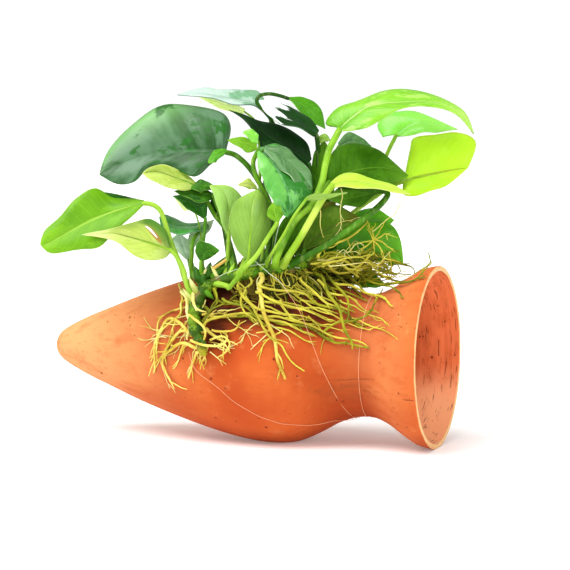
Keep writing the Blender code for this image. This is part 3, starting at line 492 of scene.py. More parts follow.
leafColours = ("base", "shade", "tip", "patch", "vein", "rib", "edge")
leafDefaults = {"patchAmount": 0.4, "patchScale": (3.0, 4.0), "patchLevel": 0.5, "veinAmount": 0.2,
    "ribAmount": 0.4, "roughness": 0.45, "coat": 0.02, "glow": 0.0, "specular": 0.15, "relief": 0.15,
    "streaks": 0.25, "lean": 0.0, "sideLean": 0.0, "tipFrom": 0.6, "sweep": 2.6, "lines": 13, "through": 0.0}
ownLeafLooks = {  # the colours in that order, then what differs from the defaults
    "greyGloss": ("567A58 224C1C 2A5824 205E16 6D9070 628A66 4F8A34", {"patchAmount": 0.95,
        "patchScale": (4.2, 4.6), "patchLevel": 0.545, "veinAmount": 0.06, "ribAmount": 0.15,
        "roughness": 0.34, "coat": 0.1, "relief": 0.03, "specular": 0.22, "streaks": 0.9, "tipFrom": 0.74,
        "litSide": "7AB468"}),
    "brightThin": ("669E08 548A06 78AE12 84BA22 8CC030 A3CB4A A9D056", {"patchAmount": 0.3,
        "patchScale": (3.0, 3.0), "veinAmount": 0.12, "ribAmount": 0.6, "coat": 0.05, "glow": 0.2,
        "specular": 0.18, "streaks": 0.4}),
    "yellowThin": ("A4D01C 98C814 AAD624 B0D838 B2DA3C 8A8A1A D2DC44", {"patchAmount": 0.3,
        "patchScale": (3.0, 3.0), "veinAmount": 0.15, "ribAmount": 0.7, "coat": 0.05, "glow": 0.25}),
    "archBright": ("7ABA1E 66AA0C AEDA5C B6E070 A4D658 B6D67A A9D056", {"patchAmount": 0.5,
        "patchScale": (2.6, 3.4), "patchLevel": 0.52, "veinAmount": 0.15, "ribAmount": 0.6, "roughness": 0.38,
        "coat": 0.15, "glow": 0.15, "specular": 0.25, "streaks": 0.6, "baseTone": "4E9600"}),
    "paleUnder": ("B2C65C A2B84A BED070 C2D278 93AA48 6C7A30 BBCB78", {"ribAmount": 0.8, "roughness": 0.5,
        "glow": 0.2, "sweep": 4.0, "lines": 10, "baseTone": "8AA640"}),
    "paleBright": ("BADE4A A8D238 BCDC54 C2E060 98BE3A 86A82E D6E88A", {"patchAmount": 0.3,
        "veinAmount": 0.15, "ribAmount": 0.6, "coat": 0.05, "glow": 0.2, "specular": 0.18}),
    "lightUnder": ("86AC44 72983A 96BC56 8EAC58 6A8E38 93AE5C 98B066", {"patchAmount": 0.35,
        "patchLevel": 0.52, "ribAmount": 0.7, "roughness": 0.5, "glow": 0.12, "sweep": 5.0, "lines": 9}),
    "freshUnder": ("84AA48 6C9236 94C04C 88A860 64902C A6CC62 B4D880", {"patchScale": (2.0, 2.0),
        "patchLevel": 0.54, "veinAmount": 0.25, "ribAmount": 0.7, "roughness": 0.5, "glow": 0.15,
        "specular": 0.1, "sweep": 5.5, "lines": 8}),
    "uprightUnder": ("A4CE6A 86B44C A8D060 9CC474 7CA83C B8DA7C C4E298", {"patchScale": (2.0, 2.0),
        "patchLevel": 0.54, "veinAmount": 0.25, "ribAmount": 0.7, "roughness": 0.5, "glow": 0.15,
        "sweep": 5.5, "lines": 8}),
    "foldShade": ("5C8850 3E6A34 2E6A1E 6E9A66 4E7A44 4E7A44 C4DEB4", {"patchAmount": 0.5,
        "patchScale": (2.0, 3.0), "patchLevel": 0.54, "ribAmount": 0.2, "roughness": 0.4, "coat": 0.1,
        "specular": 0.25, "streaks": 0.7}),
    "stripPale": ("DCEC9C C8DE84 E6F2B4 E8F2C0 C0D880 A8C85A E8F0C0", {"patchScale": (3.0, 3.0),
        "veinAmount": 0.1, "coat": 0.05, "glow": 0.25, "specular": 0.2, "through": 0.4}),
    "hazeTop": ("BCD2C4 92B09A B8D2B8 6E9474 8AAC90 7CA484 CFE0D4", {"patchScale": (2.0, 2.6),
        "patchLevel": 0.55, "roughness": 0.4, "coat": 0.1, "specular": 0.3, "sweep": 4.0}),
    "hazeGreen": ("BAD8A6 9CC48A CCE2C0 D6E8D0 A6C890 9CC084 DCEAD0", {"patchScale": (2.0, 2.6),
        "patchLevel": 0.52, "veinAmount": 0.15, "glow": 0.1, "specular": 0.2}),
    "mintGloss": ("74BE56 40902A 50A03E 1E6E12 74B47E 7DB886 82B86A", {"patchAmount": 0.95,
        "patchScale": (3.4, 3.0), "veinAmount": 0.08, "ribAmount": 0.3, "roughness": 0.28, "coat": 0.15,
        "glow": 0.05, "relief": 0.06, "specular": 0.3, "sideLean": -0.45}),
    "freshMint": ("86D048 74C838 92D658 5CB43A 8AC666 92CC74 A4D27E", {"patchScale": (3.0, 2.6),
        "patchLevel": 0.56, "veinAmount": 0.1, "roughness": 0.34, "coat": 0.2, "glow": 0.15,
        "specular": 0.3}),
    "blackGreen": ("0C3008 082006 163C10 1A4614 1C4418 25511F 3E6B30", {"patchScale": (3.0, 5.0),
        "patchLevel": 0.58, "veinAmount": 0.05, "roughness": 0.42, "coat": 0.03, "relief": 0.02,
        "specular": 0.1}),
    "glareDark": ("14420C 0E3208 1D4A1E EEF4F0 1C4A22 274F26 4B7E4A", {"patchAmount": 0.95,
        "patchScale": (5.0, 1.3), "veinAmount": 0.0, "ribAmount": 0.3, "coat": 0.05, "relief": 0.02,
        "lean": 0.75}),
    "midTop": ("34700A 245406 4A8E1C 58962A 4E8A28 6CA33C 86B24C", {"patchAmount": 0.35,
        "patchScale": (3.0, 5.0), "patchLevel": 0.55, "veinAmount": 0.12, "ribAmount": 0.5, "roughness": 0.36,
        "coat": 0.03, "glow": 0.04, "specular": 0.1}),
    "deepTop": ("245C10 143C08 3A7428 4E8A3C 2E6420 3E7A2C 5E9440", {"patchAmount": 0.35,
        "patchScale": (2.5, 4.0), "patchLevel": 0.56, "veinAmount": 0.1, "roughness": 0.4, "specular": 0.08}),
    "freshTop": ("56A012 3E840C 70BC2A 74BC3C 66B028 74B83C 8CC85A", {"patchAmount": 0.35,
        "patchScale": (2.5, 4.0), "patchLevel": 0.54, "veinAmount": 0.15, "ribAmount": 0.5, "roughness": 0.38,
        "coat": 0.04, "glow": 0.1}),
    "tealTop": ("4E9E3A 368A28 5CAC66 9CCB90 528C64 649C76 82B092", {"patchAmount": 0.2,
        "patchScale": (2.5, 4.0), "patchLevel": 0.55, "veinAmount": 0.08, "ribAmount": 0.3, "roughness": 0.32,
        "coat": 0.04, "glow": 0.02}),
    "whiteGloss": ("C8DCD0 98BCA2 B4CFC0 4E9458 8FB598 5E9468 3A6458", {"patchAmount": 0.75,
        "patchScale": (1.6, 2.6), "patchLevel": 0.53, "veinAmount": 0.1, "ribAmount": 0.5, "roughness": 0.3,
        "coat": 0.3, "specular": 0.5, "lean": -0.4}),
    "oliveUnder": ("547A18 40620E 66601E 6E8C2C 4E6820 525E20 8E9E54", {"ribAmount": 0.7, "roughness": 0.52,
        "coat": 0.0, "glow": 0.08, "specular": 0.06}),
    "darkUnder": ("42740A 2A5806 5C8C22 4E841C 2C4F10 5F8E26 6F9638", {"patchLevel": 0.52, "ribAmount": 0.5,
        "roughness": 0.48, "coat": 0.0, "glow": 0.05, "specular": 0.05}),
}
leafLooks = {name: {**leafDefaults, **dict(zip(leafColours, codes.split())), **own}
             for name, (codes, own) in ownLeafLooks.items()}
# the torn slit of the pale leaf at the left, in mm on its blade
tornSlit = {"across": 0.738, "along": 0.298, "bladeWidth": 19.0, "bladeLength": 42.0, "slant": 22.0,
            "halfWidth": 0.45, "halfLength": 3.6, "shade": "4A7622", "brown": "A06A34"}
leafLooks["piercedUnder"] = {**leafLooks["paleUnder"], "tip": "D2DE96", "tipFrom": 0.5, "baseTone": "3C5E10",
                             "slit": tornSlit}
leafLooks["piercedTop"] = {**leafLooks["midTop"], "slit": tornSlit}
leafLooks["arcTop"] = {**leafLooks["freshTop"], "base": "44880C", "shade": "326E08", "tip": "509818",
                       "patch": "62A832"}
leafLooks["blueBack"] = {**leafLooks["hazeTop"], "base": "E0F0DC", "shade": "B4D2B0", "tip": "F0FAEC",
                         "baseTone": "6E9A5C", "through": 0.2}

stalkLooks = {
    "greenStalk": {"base": "64961C", "second": "3F760E", "roughness": 0.36},
    "yellowStalk": {"base": "98C03C", "second": "74A222", "roughness": 0.34},
    "brightStalk": {"base": "BCD858", "second": "8EB82C", "roughness": 0.34},
    "freshStalk": {"base": "86B82E", "second": "528612", "roughness": 0.34},
    "midStalk": {"base": "4A8212", "second": "2E5E0A", "roughness": 0.34},
    "paleSheath": {"base": "D0CC84", "second": "A6AE50", "roughness": 0.5},
    "cutStem": {"base": "D6B25C", "second": "AA8236", "roughness": 0.6},
    "darkStalk": {"base": "2A5A0E", "second": "1A4008", "roughness": 0.34},
}
rootLooks = {
    "yellowRoot": {"base": "CEC848", "second": "AEA434", "third": "96922A", "roughness": 0.5},
    "warmRoot": {"base": "E4D66C", "second": "CCB646", "third": "A68A2E", "roughness": 0.5},
    "oliveRoot": {"base": "9C9C24", "second": "6C7416", "third": "5C4C16", "roughness": 0.52},
    "paleRoot": {"base": "E8E296", "second": "D6CC6C", "third": "B8AE4C", "roughness": 0.52},
    "shadeRoot": {"base": "5A4A14", "second": "33340C", "third": "46541A", "roughness": 0.7},
}


def leafFinish(name, look):
    constants = {"Roughness": look["roughness"], "Coat Weight": look["coat"], "Coat Roughness": 0.15,
                 "Subsurface Weight": look["glow"], "Subsurface Radius": (0.8, 1.0, 0.3),
                 "Subsurface Scale": 0.002, "Specular IOR Level": look["specular"],
                 "Emission Strength": look["through"]}
    finish = Finish(name, constants)
    uv = finish.node("UVMap", {}, {})
    across, along = finish.axes(uv)[:2]
    place = finish.objectPlace()
    side = finish.node("Math", {"operation": "ABSOLUTE"}, {0: (across - 0.5) * 2.0})
    mottle = finish.noise(place, 110.0, 4.0, 0.6)
    broad = finish.noise(place, 34.0, 2.0)
    # veins sweep from the rib to the edge; the same slant at other spacings gives fine veins and streaks
    slant = along * look["lines"] - side * look["sweep"]
    lines = finish.node("Math", {"operation": "SINE"}, {0: slant * math.tau})
    fineLines = finish.node("Math", {"operation": "SINE"}, {0: (slant * 3.6 + mottle) * math.tau})
    fan = finish.node("CombineXYZ", {}, {"X": slant * 0.8, "Y": side, "Z": across})
    streaks = finish.noise(fan, 1.0, 3.0)
    veins = finish.rise(lines, 0.55, 1.0) * (1.0 - finish.rise(side, 0.75, 1.0))
    spread = finish.mapped(uv, (*look["patchScale"], 1.0), (look["glow"] * 40, 3.1, 0))
    patches = finish.noise(spread, 1.0, 5.0, 0.62)
    patches = patches + (along - 0.5) * look["lean"] + (across - 0.5) * look["sideLean"]
    patchMask = finish.rise(patches + (broad - 0.5) * 0.25, look["patchLevel"], look["patchLevel"] + 0.06)
    clouds = broad * 0.6 + mottle * 0.4 + (streaks - 0.5) * look["streaks"]
    finish.colour = finish.blend(finish.rise(clouds, 0.34, 0.66), look["base"], look["shade"])
    finish.lay(finish.rise(along, look["tipFrom"], 1.0) * 0.8, look["tip"])
    if "baseTone" in look:  # another green beside the stalk
        finish.lay(finish.rise(along, 0.32, 0.02) * 0.8, look["baseTone"])
    if "litSide" in look:  # paler towards one edge
        lit = finish.rise(across + (broad - 0.5) * 0.3, 0.58, 0.98) * finish.rise(along, 0.3, 0.6)
        finish.lay(lit * 0.85, look["litSide"])
    finish.lay(patchMask * look["patchAmount"], look["patch"])
    finish.lay(veins * look["veinAmount"], look["vein"])
    finish.lay(finish.rise(fineLines, 0.2, 1.0) * look["veinAmount"] * 0.5, look["vein"])
    ribEdge = 0.05 - along * 0.03
    finish.lay(finish.rise(side - ribEdge, 0.02, -0.01) * look["ribAmount"], look["rib"])
    # a thin rim in the edge colour, mostly paler: painted highlight along the margin
    finish.lay(finish.rise(side, 0.955, 0.995) * 0.7, look["edge"])
    if "slit" in look:
        slit, turn = look["slit"], math.radians(look["slit"]["slant"])
        outward = (across - slit["across"]) * slit["bladeWidth"]
        onward = (along - slit["along"]) * slit["bladeLength"]
        lengthwise = outward * math.sin(turn) + onward * math.cos(turn)
        crosswise = outward * math.cos(turn) - onward * math.sin(turn)
        shaded = (finish.rise(crosswise, 0.1, 1.0) * finish.rise(along, 0.5, 0.36) * 0.5
                  + finish.rise(across, 0.66, 0.92) * finish.rise(along, 0.8, 0.5) * 0.5)
        finish.lay(shaded, slit["shade"])
        ragged = (mottle - 0.5) * 1.2
        brown = (lengthwise + 1.8) * (lengthwise + 1.8) / 4.8 ** 2 + crosswise * crosswise + ragged
        finish.lay(finish.rise(brown, 1.5, 0.7) * 0.8, slit["brown"])
        gap = (lengthwise * lengthwise / slit["halfLength"] ** 2
               + crosswise * crosswise / slit["halfWidth"] ** 2 + ragged)
        finish.feed("Alpha", finish.rise(gap, 0.95, 1.0))
    finish.feed("Base Color", finish.colour)
    if look["through"]:  # light shining through from behind
        finish.feed("Emission Color", finish.colour)
    finish.feed("Roughness", look["roughness"] + (mottle - 0.5) * 0.2)
    ridge = finish.rise(side - ribEdge, 0.05, -0.02)
    finish.bump(broad * 1.6 + mottle * 0.3 - veins * look["relief"] - ridge * 0.5, 0.0009, 0.55)
    return finish.material


def stalkFinish(name, look):
    finish = Finish(name, {
        "Roughness": look["roughness"], "Coat Weight": 0.03, "Coat Roughness": 0.2, "Specular IOR Level": 0.1,
        "Subsurface Weight": 0.12, "Subsurface Radius": (0.8, 1.0, 0.3), "Subsurface Scale": 0.0012})
    place = finish.objectPlace()
    streak = finish.noise(finish.mapped(place, (1.0, 1.0, 0.22)), 700.0, 2.0)
    broad = finish.noise(place, 60.0, 3.0)
    finish.colour = finish.blend(finish.rise(broad, 0.38, 0.62), look["base"], look["second"])
    finish.lay(finish.rise(streak, 0.5, 0.75) * 0.15, "DDE98C")
    finish.feed("Base Color", finish.colour)
    finish.feed("Roughness", look["roughness"] + (broad - 0.5) * 0.2)
    finish.bump(streak, 0.0002, 0.4)
    return finish.material


def rootFinish(name, look):
    finish = Finish(name, {
        "Roughness": look["roughness"], "Specular IOR Level": 0.1, "Subsurface Weight": 0.1,
        "Subsurface Radius": (1.0, 0.8, 0.3), "Subsurface Scale": 0.001})
    place = finish.objectPlace()
    broad = finish.noise(place, 90.0, 3.0)
    skin = finish.noise(place, 900.0, 3.0, 0.6)
    finish.colour = finish.blend(finish.rise(broad, 0.4, 0.6), look["base"], look["second"])
    finish.lay(finish.rise(broad + (skin - 0.5) * 0.4, 0.58, 0.72) * 0.8, look["third"])
    finish.feed("Base Color", finish.colour)
    finish.feed("Roughness", look["roughness"] + (skin - 0.5) * 0.2)
    finish.bump(skin, 0.0003, 0.5)
    return finish.material


def rhizomeFinish():
    finish = Finish("rhizomeSkin", {"Roughness": 0.45, "Specular IOR Level": 0.12})
    place = finish.objectPlace()
    broad = finish.noise(place, 120.0, 3.0)
    skin = finish.noise(place, 800.0, 4.0, 0.65)
    fresh = finish.rise(finish.axes(place)[0], -0.036, -0.014)
    pale = finish.blend(fresh, "5C7E1C", "7CA022")
    deep = finish.blend(fresh, "26400A", "3E6610")
    finish.colour = finish.blend(finish.rise(broad + (skin - 0.5) * 0.5, 0.36, 0.5), pale, deep)
    finish.lay(finish.rise(broad + skin * 0.3, 0.7, 0.8) * 0.85, "7A6A3A")
    finish.lay(finish.rise(finish.axes(place)[2], 0.046, 0.042) * 0.85, "A39A1C")
    finish.feed("Base Color", finish.colour)
    finish.bump(broad * 0.6 + skin * 0.4, 0.0006, 0.7)
    return finish.material


def lineFinish():
    finish = Finish("clearLine", {"Roughness": 0.15, "Coat Weight": 0.4})
    # the clay's colour painted into the clear line, as seen through it
    shimmer = finish.noise(finish.objectPlace(), 400.0)
    warm = finish.blend(shimmer, "E9B48A", "D98F5C")
    # painted sheen: paler higher up
    high = finish.rise(finish.axes(finish.objectPlace())[2], 0.066, 0.074)
    finish.feed("Base Color", finish.blend(high, warm, "DCE4CC"))
    return finish.material


rhizomePath = (
    (-35.4, 37.4, 4.4, 1.7), (-37.4, 43.2, 4.8, 2.3), (-39.6, 50, 5, 2.8), (-39.4, 57.5, 5, 2.9),
    (-37, 64.4, 5, 2.7), (-32, 69.2, 5, 2.6), (-25.5, 71.2, 5, 2.5), (-18.5, 73.2, 5, 2.7),
    (-11.5, 75.4, 5, 2.9), (-4, 76, 5, 2.9), (2, 76.6, 5, 2.7), (9, 78, 4.6, 2.4), (16, 79.2, 4.2, 2),
)
rhizomeRows = [(*onClay(*row[:3]), row[3]) for row in rhizomePath]
scars = {"every": 1.7, "width": 0.14, "deep": 0.36, "shallow": 0.2, "deepUpTo": 3.4}  # of old leaves


def onRhizome(place):
    return Vector(curvePoint(rhizomeRows, place)[:3])


def placed(point):  # a point along the clay, or in the air where a fourth number stands
    return seen(*point[:3]) if len(point) == 4 else onClay(*point)


def leaveRhizome(place, towards, radius):
    centre = curvePoint(rhizomeRows, place)
    last = len(rhizomeRows) - 1
    along = (onRhizome(min(place + 0.2, last)) - onRhizome(max(place - 0.2, 0))).normalized()
    middle = Vector(centre[:3])
    way = towards - middle
    if 0 < place < last:
        way = way - along * way.dot(along)
    way.normalize()
    return [middle + way * (centre[3] - 0.6), middle + way * (centre[3] + 1.2 + radius)]


def stalkFoot(leaf, first, second):  # the place in the rhizome that the stalk points back to
    if "foot" in leaf:
        return onRhizome(leaf["foot"])
    back = (first - second).normalized()
    best = None
    for step in range(10 * (len(rhizomeRows) - 1)):
        point = onRhizome(step / 10)
        way = point - first
        miss = (way - back * max(0.0, way.dot(back))).length + 0.35 * way.length
        if best is None or miss < best[0]:
            best = (miss, point)
    return best[1]


def makeRhizome(material):
    count = 241
    points, radii = [], []
    for i in range(count):
        place = (len(rhizomeRows) - 1) * i / (count - 1)
        row = curvePoint(rhizomeRows, place)
        ring = (place * scars["every"]) % 1.0
        groove = scars["deep"] if place < scars["deepUpTo"] else scars["shallow"]
        groove *= math.exp(-((ring - 0.5) / scars["width"]) ** 2)
        swell = 1.06 - groove + 0.06 * math.sin(place * 7.1)
        ends = min(1.0, 0.45 + i / 10, 0.45 + (count - 1 - i) / 10)
        points.append(Vector(row[:3]))
        radii.append(row[3] * swell * ends)
    settle(strands("rhizomeStem", [(points, radii)], material, 5), "rhizome", "rhizome")


buds = {  # by look: place on the rhizome, start and end to the right, up and forward of it, radius
    "cutStem": ((5, (0.4, 6.4, 1), (6, 10.2, 0.4), 0.75),),
    "darkStalk": ((3.1, (0.8, 0, 1.8), (4.4, -2.6, 2.6), 1.4), (2.1, (0.8, 0, 1.6), (4.2, -2, 2), 1.4),
        (1.1, (0.6, 0, 1.4), (3.4, -2.2, 1.8), 1.2), (5, (-1.5, 3.5, -3), (8.8, 13.4, -5), 1.8),
        (4.6, (-2, 1, 0), (-1.4, 7, -1), 1.6), (5.3, (-1, 2.4, 0), (3, 5.2, 0), 1.4),
        (5, (-5.2, 0.6, -0.6), (-7.6, 7.4, -1), 2), (5, (-2.4, 2.2, -1.6), (-0.8, 9.2, -2.4), 1.9)),
    "greenStalk": ((4.3, (0.6, 0, 1.6), (4.4, -3.6, 3.4), 1.3), (7.4, (0, 1, 1), (3.6, 6.6, 1), 1.1),
        (9.3, (0, 1.2, 1), (4.6, 6.6, 0.4), 1.3), (7.9, (0, 0, 2), (-1.4, -2.6, 3), 1),
        (6.7, (0, 0, 2), (0.6, -2.8, 2.6), 1), (9, (0.6, 0, 2), (2.6, -2.6, 2.6), 1)),
    "midStalk": ((5.3, (-2, 1.4, -1), (2.6, 5.6, -1), 1.7), (5, (0, 2, -1), (8, 9, -2), 1.5),
        (5, (-4.4, 1, -1.4), (-4.8, 8.6, -1.6), 1.2), (5, (-0.4, 3, -2.4), (3, 9, -3.4), 1.7)),
    "paleSheath": ((3.9, (-1, 0.6, 1), (-4.8, 8, 0.4), 1.2), (3.4, (-1, 0.4, 1.2), (-6, 6.4, 1), 1),
        (5.6, (-1, 1, 0.4), (-4.4, 6.4, -0.6), 0.9), (5, (-3.6, 4.2, 0.2), (-2.4, 6.6, 0.6), 0.6)),
    "yellowStalk": ((6.1, (0, 1, 1), (2.6, 6.6, 0.4), 1), (8.4, (0, 1.4, 0.8), (3, 7.4, 0.6), 1.2),
        (10.3, (0, 1, 1), (5, 5.2, 0), 1.2)),
}


def makeBuds(materials):  # young shoots, papery sheaths and one cut stem
    pointed = (0.55, 1.0, 1.05, 0.95, 0.75, 0.45, 0.12)
    last = len(pointed) - 1
    bulge = -viewAhead * 0.4
    for look, shoots in buds.items():
        profile = [0.95] * len(pointed) if look == "cutStem" else pointed
        lines = []
        for place, *ends, radius in shoots:
            middle = onRhizome(place)
            start, end = [middle + viewRight * a + viewUp * b - viewAhead * c for a, b, c in ends]
            points = [start.lerp(end, i / last) + bulge * math.sin(math.pi * i / last)
                      for i in range(last + 1)]
            lines.append((points, [radius * size for size in profile]))
        settle(strands("buds" + look[0].upper() + look[1:], lines, materials[look], 3), "rhizome")


blades = {  # for every leaf, unless its own entry says otherwise
    "gridAcross": 18,
    "gridAlong": 34,
    "thickness": 0.55,
    "crown": 0.1,  # how far the halves arch, against their width
    "fold": 0.35,  # 0 rounds the rib over, 1 creases it
    "ripple": 0.5,  # mm up and down along the edge
    "ripples": 2.3,
    "wave": 0.035,  # the edge in and out, against the half width
    "waves": 3.3,
    "phase": 0.0,
    "ribFront": False,  # the rib stands on the front, where that is the leaf's underside
    "ribPoints": 24,
    "stemPoints": 8,  # for each point of the stalk
}


def rowsAt(rows, v):
    return [Vector(curvePoint([row[side] for row in rows], v * (len(rows) - 1))) for side in (0, 1, 2)]


def bladeAcross(rows, v):  # middle, left and right of the blade at v, and the way its front faces
    middle, left, right = rowsAt(rows, v)
    before, after = rowsAt(rows, max(v - 0.02, 0))[0], rowsAt(rows, min(v + 0.02, 1))[0]
    normal = (right - left).cross(after - before)
    return middle, left, right, normal.normalized() if normal.length > 1e-9 else Vector((0, 0, 1))


def bladePoint(leaf, rows, u, v):  # u from -1 at the left edge to 1 at the right, v from base to tip
    middle, left, right, normal = bladeAcross(rows, v)
    edge, side = (right, 1) if u > 0 else (left, 0.7)
    swing = math.sin(math.tau * (leaf["waves"] * v + leaf["phase"] + side))
    edge = middle + (edge - middle) * (1 + leaf["wave"] * swing)
    half = (edge - middle).length
    creased = middle.lerp(edge, abs(u))
    rounded = Vector(curvePoint([left, middle, right], u + 1))
    lift = leaf["crown"] * half * 4 * abs(u) * (1 - abs(u))
    sway = math.sin(math.tau * (leaf["ripples"] * v + leaf["phase"] + side)) * math.sin(math.pi * v)
    lift += leaf["ripple"] * abs(u) ** 2.5 * sway
    return rounded.lerp(creased, leaf["fold"]) + normal * lift


def makeLeaf(name, leaf, materials):
    leaf = {**blades, **leaf}
    front, back, stalkLook = leaf["looks"]
    rows = []
    for x, y, z, *edges in leaf["blade"]:
        edges = edges or [0] * 6  # the tip
        rows.append([seen(x + a, y + b, z + c) for a, b, c in ((0, 0, 0), edges[:3], edges[3:])])
    middle, left, right = rowsAt(rows, 0.5)
    ahead = rowsAt(rows, 0.55)[0] - rowsAt(rows, 0.45)[0]
    if (right - left).cross(ahead).dot(viewEye - middle) < 0:
        rows = [[row[0], row[2], row[1]] for row in rows]  # the front shell is the side seen

    deselectAll()
    bpy.ops.mesh.primitive_grid_add(x_subdivisions=leaf["gridAcross"], y_subdivisions=leaf["gridAlong"],
                                    size=2)
    blade = bpy.context.object
    for vertex in blade.data.vertices:
        u, v = vertex.co.x, (vertex.co.y + 1) / 2
        vertex.co = bladePoint(leaf, rows, u, v) * mm
    bpy.ops.object.mode_set(mode="EDIT")
    bpy.ops.mesh.select_all(action="SELECT")
    bpy.ops.mesh.remove_doubles(threshold=0.01 * mm)
    bpy.ops.object.mode_set(mode="OBJECT")
    blade.data.materials.append(materials[front])
    blade.data.materials.append(materials[back])
    thick = blade.modifiers.new("thickness", "SOLIDIFY")
    thick.thickness = leaf["thickness"] * mm
    thick.offset = 0
    thick.material_offset = 1
    thick.use_quality_normals = True
    applyModifiers(blade)
    bpy.ops.object.shade_smooth()

    # the stalk swells at its foot and goes on as the rib
    radius = leaf["stalkRadius"]
    stalk = leaves[leaf.get("stalkOf", name)]["stalk"]
    line = [seen(*point) for point in stalk] + [rows[0][0]]
    line.insert(0, stalkFoot(leaf, *line[:2]))
    count = leaf["stemPoints"] * len(line)
    points = smoothLine(line, count)
    radii = [radius * (1.0 + 0.55 * max(0.0, 1 - i / 11) ** 1.5) * (1 - 0.12 * i / count)
             for i in range(count)]
    ribSize, ribLift = (0.7, 0.12) if leaf["ribFront"] else (0.4, -0.3)
    for i in range(1, leaf["ribPoints"] + 1):
        v = 0.93 * i / leaf["ribPoints"]
        middle, left, right, normal = bladeAcross(rows, v)
        points.append(middle + normal * ribLift)
        radii.append(max(0.1, radius * ribSize * (1 - v) ** 1.6))
    stem = strands(name + "Stem", [(points, radii)], materials[stalkLook], 3)
    return joinPieces(name + "Whole", [blade, stem])


